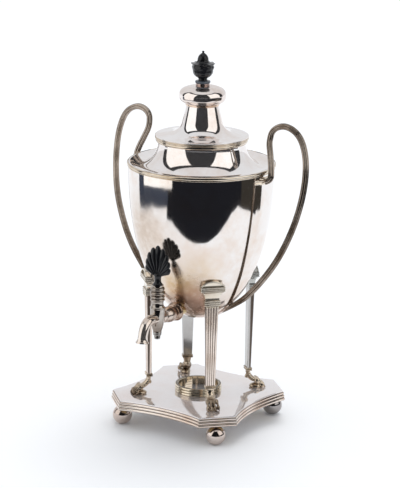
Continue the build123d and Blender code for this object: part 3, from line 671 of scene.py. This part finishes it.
ledge = arc((82.4, ledge_top), (74.2, (ledge_top + crease) / 2 - 1.6), (crease_radius, crease), 14)
ledge_under = [(x, y - bowl_wall) for x, y in ledge][::-1]
shoulder_line = [(bowl_radius, ledge_top)] + ledge + hollow_neck(0)[1:]
shoulder_line += hollow_neck(bowl_wall)[::-1] + ledge_under + [(bowl_radius, ledge_top - bowl_wall)]
shoulder = spun("shoulder", shoulder_line, 144)
finished(shoulder, lid_silver, "urn", ["body_shoulder"], 30)

mouth_radius, mouth_bore = 52.4, 48.8
mouth_top = high("mouth_ring")
mouth_line = [(mouth_bore, mouth_top), (mouth_bore, neck_top)]
mouth_line += reeds((mouth_radius, neck_top), (mouth_radius, mouth_top), 1, 0.7, 12)
mouth = spun("mouth", mouth_line, 120)
finished(mouth, edge_silver, "urn", ["mouth_ring"], 30)

# %% [markdown]
# The lid has a reeded edge with a ring below that drops into the mouth, a trumpet-shaped dome of thin
# sheet, a bead, and a flattened bulb that carries the finial.

# %% Lid
lid_radius, bezel_radius, bezel_bore, bezel_drop = 53.3, 48.4, 47.2, 8.0
rod_bore = 2.05
edge_top = high("lid_bezel")
edge_line = [
    (lid_radius, mouth_top), (bezel_radius, mouth_top), (bezel_radius, mouth_top - bezel_drop),
    (bezel_bore, mouth_top - bezel_drop), (bezel_bore, edge_top), (lid_radius, edge_top)]
edge_line += reeds((lid_radius, edge_top), (lid_radius, mouth_top), 2, -0.6, 8)
lid_ring = spun("lid_ring", edge_line, 128)
finished(lid_ring, edge_silver, "lid", ["lid_bezel"], 30)

border_top = edge_top + 1.0
bell_top = low("lid_bead")
dome_radii = [10.0, 17.0, 0.8]
dome_corners = [
    (lid_radius, border_top), (47.3, border_top), (26.0, border_top + 3.4), (18.8, bell_top),
    (rod_bore, bell_top)]
inner_corners = [
    (lid_radius, border_top - 1), (47.3, border_top - 1), (25.3, border_top + 2.3), (17.85, bell_top - 1),
    (rod_bore, bell_top - 1)]
dome_line = arc((lid_radius, border_top - 1), (53.8, border_top - 0.5), (lid_radius, border_top), 6)
dome_line += rounded(dome_corners, dome_radii, 12)[1:] + rounded(inner_corners, dome_radii, 12)[::-1][:-1]
dome = spun("dome", dome_line, 128)
finished(dome, lid_silver, "lid", ["lid_dome"], 30)

bead_top = high("lid_bead")
bead_line = [(rod_bore, bead_top), (rod_bore, bell_top)]
bead_line += reeds((19.0, bell_top), (19.0, bead_top), 1, 0.8, 10)
bead = spun("bead", bead_line, 96)
finished(bead, rose_silver, "lid", ["lid_bead"], 30)

bulb_top = high("lid_bulb")
waist = bead_top + 7.4
bulb_out = arc((19.6, bead_top), (25.3, bead_top + 3.0), (27.0, waist + 1.0), 12)
bulb_out += arc((27.0, waist + 1.0), (26.2, waist + 5.8), (22.8, waist + 9.4), 12)[1:]
bulb_out += arc((22.8, waist + 9.4), (16.4, waist + 11.8), (8.0, bulb_top + 3.4), 12)[1:]
bulb_out += [(7.8, bulb_top + 3.2), (7.8, bulb_top), (rod_bore, bulb_top)]
bulb_in = [(max(x - 1, rod_bore), min(y, bulb_top - 1)) for x, y in bulb_out][::-1]
bulb = spun("bulb", bulb_out + bulb_in, 112)
finished(bulb, bulb_silver, "lid", ["lid_bulb"], 30)

# %% [markdown]
# The finial is turned like the rest: a foot, a neck and a cup under a small cover. Then its lip is drawn
# out into eight leaf tips. The steps of the spin are counted so that every tip falls on a column of
# vertices, and the tips are selected by their direction and scaled outwards in edit mode.

# %% Finial
finial_low, finial_high = low("finial_urn"), high("finial_urn")
collar_line = reeds((7.5, bulb_top), (7.5, finial_low + 3.6), 2, 0.3, 8)
collar = spun("collar", [(rod_bore, finial_low + 3.6), (rod_bore, bulb_top)] + collar_line, 64)
finished(collar, copper_collar, "lid", ["finial_collar"], 30)

finial_line = (
    [(rod_bore, 3.6), (8.0, 3.6)] + reeds((8.3, 3.9), (8.3, 6.5), 1, 0.5, 8)
    + arc((7.2, 6.8), (5.2, 7.5), (5.0, 8.7), 6)
    + [(5.1, 9.3), (5.6, 9.6), (5.5, 10.0)] + arc((5.5, 10.0), (9.8, 12.9), (11.8, 18.6), 14)[1:]
    + arc((11.8, 18.6), (12.1, 21.5), (11.7, 24.4), 8)[1:]
    + [(12.2, 25.2), (12.9, 25.9), (12.7, 26.4), (11.2, 26.7), (9.6, 27.2)]
    + arc((9.6, 27.2), (7.6, 28.4), (6.3, 31.0), 8)[1:] + [(rod_bore, 31.0)])
finial = spun("finial", raised(finial_line, finial_low), 96)
leaf_tips = 8
for leaf in range(leaf_tips):
    bpy.ops.object.mode_set(mode="EDIT")
    bpy.ops.mesh.select_all(action="DESELECT")
    bpy.ops.object.mode_set(mode="OBJECT")
    for vertex in finial.data.vertices:
        height = vertex.co.z / MM - finial_low
        turn = math.atan2(vertex.co.y, vertex.co.x) - math.tau * (leaf + 0.5) / leaf_tips
        beside = abs((turn + math.pi) % math.tau - math.pi)
        vertex.select = 24.8 < height < 26.6 and vertex.co.xy.length > 11.9 * MM and beside < 0.16
    bpy.ops.object.mode_set(mode="EDIT")
    bpy.ops.transform.resize(value=(1.07, 1.07, 1), center_override=(0, 0, finial_low * MM))
    bpy.ops.transform.translate(value=(0, 0, 0.4 * MM))
bpy.ops.object.mode_set(mode="OBJECT")
for vertex in finial.data.vertices:
    height = vertex.co.z / MM - finial_low
    turn = math.atan2(vertex.co.y, vertex.co.x)
    carve = 0
    if 11 < height < 20:
        carve = 0.3 * math.sin(math.pi * (height - 11) / 9) * abs(math.sin(8 * turn))
    if 20 < height < 24.6:
        carve = -0.8 * math.sin(math.pi * (height - 20) / 4.6) * abs(math.sin(4 * turn)) ** 2
    if 27.4 < height < 30.9:
        carve = 0.6 * abs(math.sin(4 * turn))
    outwards = vertex.co.xy.normalized() * carve * MM
    vertex.co.x -= outwards.x
    vertex.co.y -= outwards.y
finished(finial, black_wood, "lid", ["finial_urn"], 50)

tip_top = high("finial_tip")
tip_line = [(rod_bore, 0)] + arc((6.3, 0), (5.8, 2.4), (4.9, 4.2), 8)
tip_line += arc((4.9, 4.2), (3.7, 5.6), (1.5, 7.3), 8)[1:] + [(1.0, 7.8)]
tip_line += arc((1.1, 8.0), (1.5, 8.9), (0, tip_top - finial_high), 8) + [(0, 5.6), (rod_bore, 5.6)]
tip = spun("tip", raised(tip_line, finial_high), 48)
finished(tip, black_wood, "lid", ["finial_tip"], 50)

# %% [markdown]
# Each handle is one long tube with reeds along it, like a bundle of wires soldered together. It is made as
# a curve through the same points as in the construction, with a lobed outline as its section, and then
# turned into a mesh. A curve keeps the reeds running along every bend. The lower end thins out on the bowl.

# %% Handles
handle_radius = 3.7
handle_out = bowl_radius + 1.5 + handle_radius
handle_spread, handle_lean, handle_rise, handle_drop = 39.5, 19.0, 51.5, 115.0
handle_shape = [
    (0.063, 0.05, -0.097), (0.038, 0.18, 0.02), (-0.101, 0.53, 0.33), (-0.215, 0.74, 0.58),
    (-0.152, 0.89, 0.87), (0.253, 0.95, 1.0), (0.722, 1.0, 0.815), (0.962, 0.95, 0.35),
    (1.0, 0.76, -0.122), (0.861, 0.42, -0.443), (0.557, 0.18, -0.739), (0.152, 0.0, -1.0)]
handle_tail = [(0.129, 0.33), (0.055, 0.2), (-0.004, 0.109)]
handle_route = [(bowl_radius + 1.2, 0, rim_low - 2 * handle_radius)]
for out, lean, rise in handle_shape:
    height = rim_high + rise * (handle_rise if rise > 0 else handle_drop)
    handle_route.append((handle_out + handle_spread * out, handle_lean * lean, height))
for out, rise in handle_tail:
    height = bowl_bottom + handle_drop * rise
    handle_route.append((bowl_width(height) + handle_drop * out, -handle_radius / 2, height))

section_data = bpy.data.curves.new("handle_section", "CURVE")
section_line = section_data.splines.new("POLY")
section_steps = 72
section_line.points.add(section_steps - 1)
for number, point in enumerate(section_line.points):
    turn = math.tau * number / section_steps
    reach = handle_radius * (0.72 + 0.28 * abs(math.cos(3 * turn)) ** 0.7) * MM
    point.co = (reach * math.cos(turn), reach * math.sin(turn), 0, 1)
section_line.use_cyclic_u = True
section = new_object("handle_section", section_data)

fit = 0.15
block_line = bowl_line(fit) + [(bowl_radius + fit, collar_top), (0, collar_top)]
bowl_block = spun("bowl_block", block_line, 128)


def rod(name, kind, points, sizes=None, **settings):
    """A bent rod or tube through points, in millimetres. sizes widen it, and settings are its curve's own."""
    data = bpy.data.curves.new(name, "CURVE")
    data.dimensions = "3D"
    for key, value in settings.items():
        setattr(data, key, value)
    line = data.splines.new(kind)
    line.points.add(len(points) - 1)
    for number, point in enumerate(points):
        line.points[number].co = (*(Vector(point) * MM), 1)
        line.points[number].radius = sizes[number] if sizes else 1
    line.order_u = 3
    line.use_endpoint_u = True
    made = new_object(name, data)
    selected(made)
    bpy.ops.object.convert(target="MESH")
    return made


def cut(made, block):
    """Cuts a block out of a piece."""
    selected(made)
    modifier = made.modifiers.new("cut", "BOOLEAN")
    modifier.operation = "DIFFERENCE"
    modifier.solver = "EXACT"
    modifier.object = block
    bpy.ops.object.modifier_apply(modifier="cut")
    return made


handle_sizes = [1] * (len(handle_route) - 2) + [0.8, 0.62]
for side, sign in (("right", 1), ("left", -1)):
    handle = rod(
        "reeded_handle_" + side, "NURBS", [(sign * x, y, z) for x, y, z in handle_route], handle_sizes,
        resolution_u=16, bevel_mode="OBJECT", bevel_object=section, use_fill_caps=True)
    tidy_mesh()
    cut(handle, bowl_block)
    finished(handle, handle_silver, "urn", ["handle_" + side], 32)
bpy.data.objects.remove(section)

# %% [markdown]
# Cast leaves hold the handles and the tap on the bowl. Each one is a round grid of rings and rays, laid on
# the bowl's surface: its edge follows a lobed outline and touches the bowl, and its middle stands proud
# with veins. Laying it in code over the bowl's own radius keeps it tight on the curve.

# %% Leaves on the bowl


def walled(made, thickness):
    """Gives a skin a wall inwards, in millimetres."""
    modifier = made.modifiers.new("wall", "SOLIDIFY")
    modifier.thickness = thickness * MM
    modifier.offset = -1
    bpy.ops.object.modifier_apply(modifier="wall")


def leaf_on_bowl(name, turn, height, outline, relief, veins, finish, node):
    """A leaf at a direction and height of the bowl. outline(angle) gives its reach across and up."""
    rings, rays = 9, 96
    bpy.ops.object.select_all(action="DESELECT")
    bpy.ops.mesh.primitive_circle_add(vertices=rays, radius=1, fill_type="TRIFAN")
    made = bpy.context.object
    made.name = name
    bpy.ops.object.mode_set(mode="EDIT")
    for ring in range(1, rings):
        bpy.ops.mesh.select_all(action="DESELECT")
        bpy.ops.object.mode_set(mode="OBJECT")
        previous = (rings - ring + 1) / rings
        for face in made.data.polygons:
            face.select = all(made.data.vertices[v].co.length < previous + 0.001 for v in face.vertices)
        bpy.ops.object.mode_set(mode="EDIT")
        bpy.ops.mesh.inset(thickness=0.999 / rings, use_even_offset=False, use_boundary=True)
    bpy.ops.object.mode_set(mode="OBJECT")
    for vertex in made.data.vertices:
        share = min(vertex.co.length, 1.0)
        angle = math.atan2(vertex.co.y, vertex.co.x)
        across, rise = outline(angle)
        stand = 0.15 + relief * (1 - share ** 3) * (1 - 0.45 * share * veins(angle))
        level = height + rise * share
        reach = bowl_width(level) + (stand if share < 0.999 else 0.1)
        round_turn = turn + across * share / bowl_width(level)
        vertex.co = (reach * math.cos(round_turn) * MM, reach * math.sin(round_turn) * MM, level * MM)
    walled(made, 0.5)
    tidy_mesh()
    finished(made, finish, "urn", [node], 50)


def lobed(angle, lobes, depth):
    """An outline's reach in one direction, between 1 - depth and 1."""
    return 1 - depth + depth * abs(math.cos(lobes / 2 * angle))


def veined(lobes):
    """The relief of a leaf with that many lobes."""
    return lambda angle: abs(math.sin(lobes / 2 * angle)) ** 0.6


def bracket_outline(angle):
    reach = lobed(angle, 7, 0.18)
    return 20.0 * math.cos(angle) * reach, (4.6 + 1.2 * abs(math.cos(angle)) ** 4) * math.sin(angle) * reach


def tail_outline(angle):
    reach = lobed(angle, 8, 0.16)
    return 8.2 * math.sin(angle) * reach, 12.0 * math.cos(angle) * reach


def rosette_outline(angle):
    reach = 15.0 * lobed(angle, 8, 0.14)
    return reach * math.cos(angle), reach * math.sin(angle)


for side, turn in (("right", 0.0), ("left", math.pi)):
    leaf_on_bowl("bracket_leaf_" + side, turn, rim_low - 6.2, bracket_outline, 3.4, veined(7), edge_silver,
                 "handle_bracket_" + side)
    leaf_on_bowl("tail_leaf_" + side, turn, bowl_bottom + 14, tail_outline, 1.7, veined(8), leg_silver,
                 "handle_leaf_" + side)
pipe_height = (low("tap_pipe") + high("tap_pipe")) / 2
leaf_on_bowl("rosette", -math.pi / 2, pipe_height, rosette_outline, 1.9, veined(8), tap_silver,
             "tap_rosette")

# %% [markdown]
# The tap is turned work again. Its upright barrel has a stack of rings at the top, a waist and a belly. The
# pipe behind it swells into a bulb between two rings. The spout is a tube that bends down to a flared lip.

# %% Tap barrel and pipe
barrel_low = low("tap_barrel")
plug_radius = 6.6
tap_out = -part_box("tap_plug")[0].y / MM - plug_radius

barrel_line = [(3.25, barrel_low), (5.0, barrel_low)] + raised(
    arc((5.0, -13.4), (6.7, -8.0), (7.6, -2.0), 10)[1:] + arc((7.6, -2.0), (8.1, 6.0), (8.2, 12.6), 10)[1:]
    + arc((8.2, 12.6), (8.7, 13.8), (8.1, 15.0), 8) + arc((7.4, 15.6), (6.7, 18.6), (7.0, 21.6), 10)
    + reeds((7.3, 21.9), (7.3, 24.7), 1, 0.9, 8) + [(6.5, 24.9), (6.5, 25.3)]
    + reeds((7.3, 25.5), (7.3, 28.3), 1, 0.9, 8) + [(6.5, 28.6), (6.5, 29.4)]
    + reeds((7.8, 29.6), (7.8, 33.2), 1, 1.0, 10) + [(6.6, 33.5), (6.6, 34.1)]
    + reeds((7.2, 34.3), (7.2, 37.9), 1, 0.9, 8) + [(6.0, 38.4), (5.8, 39.0), (4.7, 39.0)], pipe_height)
barrel = spun("barrel", barrel_line, 72, (0, -tap_out))
finished(barrel, barrel_silver, "urn", ["tap_barrel"], 35)

pipe_line = [(3.0, 52.0), (3.0, 84.5), (6.4, 84.5)] + arc((6.4, 77.6), (7.4, 76.6), (6.4, 75.6), 8)
pipe_line += arc((6.6, 75.4), (9.2, 68), (8.0, 60.4), 14) + arc((8.0, 60.2), (9.6, 58.6), (8.2, 57.0), 8)
pipe_line += [(8.0, 56.2), (9.4, 55.2), (10.6, 54.0), (11.0, 52.6), (10.2, 52.0)]
pipe = spun("pipe", pipe_line, 72)
pipe.data.transform(Matrix.Translation((0, 0, pipe_height * MM)) @ Matrix.Rotation(math.pi / 2, 4, "X"))
finished(pipe, tap_silver, "urn", ["tap_pipe"], 35)

# %% [markdown]
# A bent tube could be spun too, but a curve with a round bevel is the plainer way, because its radius can
# widen towards the mouth. The walls come from a Solidify modifier, inwards, so the mouth is open and dark.

# %% Spout
spout_route = [
    (86.5, 0, 1.0), (96, 1.5, 1.0), (108, 3, 1.0), (116, -2, 0.98), (119.5, -10, 0.95), (120.6, -16.5, 0.98),
    (121, -17.8, 1.06), (121.1, -18.8, 1.26), (121.2, -20, 1.29)]
spout = rod(
    "spout", "NURBS", [(0, -reach, pipe_height + drop) for reach, drop, _ in spout_route],
    [size for _, _, size in spout_route], bevel_depth=6.0 * MM, bevel_resolution=10, resolution_u=14)
walled(spout, 1.4)
finished(spout, tap_silver, "urn", ["tap_spout"], 40)

# %% [markdown]
# The key is carved as a scallop shell with nine ridges. One half of it is a grid: across it run the ridges,
# along it each ridge grows from the root to a rounded tip, and the thickness closes to nothing at the edge.
# The other half is its mirror image. The stem below is turned.

# %% Shell key
key_low = low("tap_key_shell")
key_root = key_low + 10.0
ribs, per_rib, rows = 9, 10, 26
bpy.ops.object.select_all(action="DESELECT")
bpy.ops.mesh.primitive_grid_add(x_subdivisions=ribs * per_rib, y_subdivisions=rows, size=2)
shell = bpy.context.object
shell.name = "shell"

half_tips = [(0, 35.6), (7.9, 31.8), (13.6, 24.8), (16.3, 16.2), (16.8, 8.0)]
rib_tips = [Vector((-x, z)) for x, z in half_tips[:0:-1]] + [Vector(tip) for tip in half_tips]
valleys = [(first + second) / 2 * 0.91 for first, second in zip(rib_tips, rib_tips[1:])]
side_foot = Vector((14.4, 3.6))
valleys = [Vector((-side_foot.x, side_foot.y))] + valleys + [side_foot]
for vertex in shell.data.vertices:
    place, along = vertex.co.x, (vertex.co.y + 1) / 2
    rib_place = (place + 1) / 2 * ribs
    inside_rib = 2 * (rib_place - math.floor(min(rib_place, ribs - 0.0001))) - 1
    crown = math.sqrt(max(1 - inside_rib ** 2, 0))
    rib = min(int(rib_place), ribs - 1)
    edge_point = valleys[rib].lerp(valleys[rib + 1], (inside_rib + 1) / 2)
    edge_point += (rib_tips[rib] - (valleys[rib] + valleys[rib + 1]) / 2) * crown
    x, z = Vector((2.4 * place, -0.6)).lerp(edge_point, along)
    body = 2.1 + 0.5 * math.sin(math.pi * along)
    edge = math.sqrt(max(1 - along ** 10, 0)) * math.sqrt(max(1 - abs(place) ** 12, 0))
    thick = (body * 0.55 + (0.45 * body + 0.5 * along) * crown) * edge
    vertex.co = (x * MM, -thick * MM, (key_root + z) * MM)
modifier = shell.modifiers.new("other_half", "MIRROR")
modifier.use_axis = (False, True, False)
modifier.merge_threshold = 0.02 * MM
bpy.ops.object.modifier_apply(modifier="other_half")
shell.data.transform(Matrix.Translation((0, -tap_out * MM, 0)))
tidy_mesh()

stem_line = [(rod_bore, key_low)] + arc((5.2, key_low), (5.5, key_low + 0.9), (4.6, key_low + 1.8), 6)
stem_line += arc((4.6, key_low + 1.8), (3.7, key_low + 5.5), (4.6, key_root + 0.6), 8)[1:]
stem_line += arc((4.6, key_root + 0.6), (4.0, key_root + 2.6), (0, key_root + 3.4), 6)[1:]
stem_line += [(0, key_root - 1), (rod_bore, key_root - 1)]
stem = spun("stem", stem_line, 48, (0, -tap_out))
finished(joined([shell, stem]), black_wood, "tap_key", ["tap_key_shell"], 55)

knob_low, knob_high = low("tap_knob_nut"), high("tap_knob_nut")
knob_line = [(0, knob_low), (0, knob_low + 3.7), (rod_bore, knob_low + 3.7), (rod_bore, knob_high)]
knob_line += reeds((4.5, knob_high), (4.3, knob_high - 1.9), 1, -0.7, 6)
knob_line += reeds((4.3, knob_high - 2.1), (4.0, knob_high - 4.0), 1, -0.7, 6)
knob_line += [(3.3, knob_high - 4.2), (3.7, knob_high - 4.8), (3.5, knob_low + 0.5), (3.0, knob_low)]
knob = spun("knob", knob_line, 48, (0, -tap_out))
finished(knob, knob_silver, "tap_key", ["tap_knob_nut"], 40)

# %% [markdown]
# The base and the legs are skins over sections: a grid is laid so that each row is one section, a closed
# line, and its columns join the same point of every section. Whether the last row meets the first again or
# the ends are filled is the only choice. The base's plan has four sides that are dished inwards and four
# straight corners, and its reeds come from growing and shrinking that plan on the way up.

# %% Base


def lofted(name, sections, endless=False):
    """A skin over sections, closed lines of equally many points, in millimetres."""
    columns = len(sections[0])
    rows = len(sections) if endless else len(sections) - 1
    bpy.ops.object.select_all(action="DESELECT")
    bpy.ops.mesh.primitive_grid_add(x_subdivisions=columns, y_subdivisions=rows, size=2)
    made = bpy.context.object
    made.name = name
    for vertex in made.data.vertices:
        column = round((vertex.co.x + 1) / 2 * columns) % columns
        row = round((vertex.co.y + 1) / 2 * rows) % len(sections)
        vertex.co = Vector(sections[row][column]) * MM
    bpy.ops.object.mode_set(mode="EDIT")
    bpy.ops.mesh.select_all(action="SELECT")
    bpy.ops.mesh.remove_doubles(threshold=0.002 * MM)
    bpy.ops.mesh.fill_holes(sides=0)
    tidy_mesh()
    return made


base_half = 84.2
base_cant = 30.2
side_dish = 8.0


def base_plan(grow, height):
    """The base's plan, moved outwards by grow, at a height."""
    half_side = base_half - base_cant
    dish_radius = (half_side ** 2 + side_dish ** 2) / (2 * side_dish)
    dish_middle = base_half - side_dish + dish_radius
    corner_sum = base_half + half_side + grow * math.sqrt(2)
    radius = dish_radius - grow
    apart = dish_middle - corner_sum
    x = (math.sqrt(2 * radius ** 2 - apart ** 2) - apart) / 2
    points = []
    for quarter in range(4):
        turn = Matrix.Rotation(math.tau * quarter / 4, 2)
        for side_point in arc((-x, x - corner_sum), (0, radius - dish_middle), (x, x - corner_sum), 28):
            points.append((*(turn @ Vector(side_point)), height))
    return points


plate_low, plate_top = low("base_plate"), high("base_plate")
plate = lofted("plate", [
    base_plan(0, plate_low), base_plan(0.1, plate_top - 0.5), base_plan(-0.1, plate_top - 0.12),
    base_plan(-0.5, plate_top)])
finished(plate, base_silver, "urn", ["base_plate"], 20)

moulding_low = low("base_moulding")
moulding_rows = [base_plan(x, y) for x, y in reeds((1.6, moulding_low), (0.0, plate_low), 3, 0.95, 10)]
moulding_rows += [base_plan(-2.2, plate_low), base_plan(-2.2, moulding_low)]
moulding = lofted("moulding", moulding_rows, endless=True)
finished(moulding, moulding_silver, "urn", ["base_moulding"], 24)

ring_top = high("burner_ring")
ring_line = reeds((26.4, plate_top), (26.4, ring_top), 3, 1.1, 10)
ring_line += arc((25.6, ring_top), (24.6, ring_top + 0.1), (23.5, ring_top - 0.5), 6) + [(23.5, plate_top)]
lamp_ring = spun("lamp_ring", ring_line, 112)
finished(lamp_ring, ring_silver, "urn", ["burner_ring"], 30)

# %% [markdown]
# The four ball feet are spun about their own axes. They stand on the diagonals, under the base's corners.

# %% Ball feet
quarter_turns = [Matrix.Rotation(math.radians(90 * number - 45), 4, "Z") for number in range(4)]
block_low = low("corner_blocks")
foot_reach = 90.92
for number, turn in enumerate(quarter_turns, 1):
    foot_place = turn @ Vector((foot_reach, 0, 0))
    ball_line = [(0, 0)] + arc((3.0, 0), (11.5, 11.1), (4.4, 21.7), 40)
    ball_line += arc((4.4, 21.7), (3.9, 22.6), (4.6, block_low), 6)[1:] + [(0, block_low)]
    ball = spun(f"ball_foot_{number}", ball_line, 72, (foot_place.x, foot_place.y))
    finished(ball, ball_silver, "urn", [f"foot_ball_{number}"], 40)

# %% [markdown]
# Each leg is made once, in a frame of its own in which X points away from the urn and Y across the leg, and
# is then turned to its corner. The shaft is flat behind, has five reeds in front and thins out downwards.

# %% Leg shafts
leg_back = bowl_width(shaft_high + 13.7)


def shaft_section(height, width, thickness):
    """A leg's section, flat behind and reeded in front."""
    front = leg_back + thickness - 1.0
    line = reeds((front, -width / 2), (front, width / 2), 5, 1.0, 8)
    line += [(leg_back + 0.4, width / 2), (leg_back, width / 2 - 0.4), (leg_back, 0.4 - width / 2),
             (leg_back + 0.4, -width / 2)]
    return [(x, y, height) for x, y in line]


def turned_to(made, number):
    """Turns a leg's piece to the corner with that number."""
    made.data.transform(quarter_turns[number - 1])
    return made


for number in range(1, 5):
    shaft = lofted(f"shaft_{number}", [
        shaft_section(shaft_low, 11.0, 4.9), shaft_section(shaft_high, 15.3, 7.0)])
    finished(turned_to(shaft, number), shaft_silver, "urn", [f"leg_shaft_{number}"], 30)

# %% [markdown]
# A capital is a stack of oblongs: three reeds, a hollow that widens, three reeds again and a low arch. A
# bent rod edges the arch, and five small beads hide the joint with the shaft. The bowl's block is cut away
# behind.

# %% Capitals
capital_face = leg_back + 8.1
foot_half, top_half = 8.6, 13.5
hollow_low = shaft_high + 7.0
hollow_high = hollow_low + 10.0
arch_foot = hollow_high + 6.0
arch_rise, arch_steps = 6.6, 9
face_flare = 1.8
arch_radius = (top_half ** 2 + arch_rise ** 2) / (2 * arch_rise)


def oblong(half, face, height):
    """A section of the capital with small blunt corners."""
    blunt = 0.5
    return [(leg_back, -half, height), (face - blunt, -half, height), (face, blunt - half, height),
            (face, half - blunt, height), (face - blunt, half, height), (leg_back, half, height)]


def reeded_oblongs(half, bottom, top, forwards=0.0):
    """Sections of a block with three reeds round its front and sides."""
    rows = reeds((0, bottom), (0, top), 3, 0.85, 8)
    return [oblong(half + x, capital_face + forwards + x, y) for x, y in rows]


def ball_at(centre, size, rings=16):
    """A stretched ball. size is its reach along X, Y and Z."""
    bpy.ops.mesh.primitive_uv_sphere_add(
        segments=2 * rings, ring_count=rings, radius=1, location=[value * MM for value in centre],
        scale=[value * MM for value in size])
    return bpy.context.object


for number in range(1, 5):
    sections = reeded_oblongs(foot_half, shaft_high, hollow_low)
    hollow = arc((foot_half, hollow_low + 0.1), (foot_half + 1, hollow_low + 6), (top_half, hollow_high), 12)
    for y, z in hollow:
        flare = (y - foot_half) / (top_half - foot_half)
        sections.append(oblong(y, capital_face - 0.9 + (face_flare + 0.9) * flare, z))
    sections += reeded_oblongs(top_half, hollow_high + 0.1, arch_foot, face_flare)
    for step in range(arch_steps + 1):
        rise = arch_rise * math.sin(math.pi / 2 * step / arch_steps) - 0.02
        half = math.sqrt(arch_radius ** 2 - (arch_radius - arch_rise + rise) ** 2)
        face = capital_face + face_flare - 1.9 + 1.3 * rise / arch_rise
        sections.append(oblong(max(half, 0.6), face, arch_foot + 0.1 + rise))
    capital = cut(lofted(f"capital_{number}", sections), bowl_block)
    arch_low, arch_high = arch_foot + 0.4, arch_foot + arch_rise - 0.4
    arch = arc((-top_half, arch_low), (0, arch_high), (top_half, arch_low), 20)
    border = [(max(capital_face + face_flare - 0.9, bowl_width(z) + 0.5), y, z) for y, z in arch]
    extras = [rod("border", "POLY", border, bevel_depth=1.0 * MM, bevel_resolution=6, use_fill_caps=True)]
    for bead_number in range(5):
        bead_place = (leg_back + 7.6, 3.1 * (bead_number - 2), shaft_high - 1.0)
        extras.append(ball_at(bead_place, (1.5, 1.4, 1.4), 10))
    capital = joined([capital, *extras])
    finished(turned_to(capital, number), capital_silver, "urn", [f"leg_capital_{number}"], 30)

# %% [markdown]
# The paws are cast. Balls are set along the limb, the toes and the pad, and voxel remeshing melts them into
# one skin, which is then smoothed like worn casting. The crisp band at the ankle is added afterwards.

# %% Paws
ankle_low = shaft_low - 4.0
limb = [
    (59.9, 21.6, 2.7, 5.2), (60.1, 19.4, 2.8, 4.7), (60.6, 17.2, 3.0, 4.4), (61.5, 15.0, 3.4, 4.4),
    (62.9, 13.0, 3.8, 4.7), (64.9, 11.3, 4.1, 5.2), (67.2, 10.0, 4.2, 5.8), (69.6, 9.0, 4.1, 6.2)]
toe = [(71.4, 8.9, 3.3), (73.4, 7.7, 2.4), (75.3, 5.9, 2.1), (77.4, 3.7, 2.9)]
claw = [(80.2, 2.0, 1.0), (81.0, 1.0, 0.7)]


def paw_parts():
    """Balls for one paw. Heights are over the plate."""
    parts = []
    for x, z, deep, wide in limb:
        parts.append(ball_at((x, 0, plate_top + z), (deep, wide, 2.6)))
    for toe_number in range(4):
        place = toe_number - 1.5
        for x, z, size in toe + claw:
            spread = 1 + (x - 71) * 0.02
            parts.append(ball_at(
                (x - 0.6 * abs(place), 3.7 * place * spread, plate_top + z), (size, size * 0.62, size)))
    parts.append(ball_at((70.6, 0, plate_top + 1.8), (8.6, 6.4, 3.6)))
    parts.append(ball_at((58.2, 0, plate_top + 14.2), (1.8, 2.4, 2.6)))
    return parts


for number in range(1, 5):
    paw = joined(paw_parts())
    paw.name = f"paw_{number}"
    bpy.ops.object.transform_apply(location=True, rotation=True, scale=True)
    melt = paw.modifiers.new("melt", "REMESH")
    melt.mode = "VOXEL"
    melt.voxel_size = 0.42 * MM
    wear = paw.modifiers.new("wear", "SMOOTH")
    wear.factor = 0.5
    wear.iterations = 2
    bpy.ops.object.modifier_apply(modifier="melt")
    bpy.ops.object.modifier_apply(modifier="wear")
    for vertex in paw.data.vertices:
        vertex.co.z = max(vertex.co.z, plate_top * MM)
    band_rows = []
    for x, z in reeds((0, ankle_low), (0, shaft_low), 2, 0.8, 8):
        behind, front, half = leg_back - 0.5 - x, leg_back + 5.4 + x, 5.5 + x
        band_rows.append([(behind, -half, z), (front, -half, z), (front, half, z), (behind, half, z)])
    paw = joined([paw, lofted("band", band_rows)])
    finished(turned_to(paw, number), paw_silver, "urn", [f"leg_foot_{number}"], 40)

# %% [markdown]
# What holds the urn together is left as it came: blocks, studs, nuts and screws under the base, the tap's
# socket, plug and washer, and the rod and nut of the finial. They only need their finish. The plug and its
# washer are plated like the barrel, and the rest is brass.

# %% Fastenings
FASTENINGS = {
    "corner_blocks": brass, "foot_studs": brass, "foot_nuts": brass, "leg_screws": brass, "tap_socket": brass,
    "tap_plug": barrel_silver, "tap_washer": barrel_silver, "finial_rod": brass, "finial_nut": brass}
for name, finish in FASTENINGS.items():
    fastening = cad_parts[name]
    fastening.data.materials.clear()
    fastening.data.materials.append(finish)
print("Fastenings with a finish:", len(FASTENINGS))

# %% [markdown]
# The block that shaped the handles and the capitals has done its work and goes.

# %% Remove the cutting block
bpy.data.objects.remove(bowl_block)
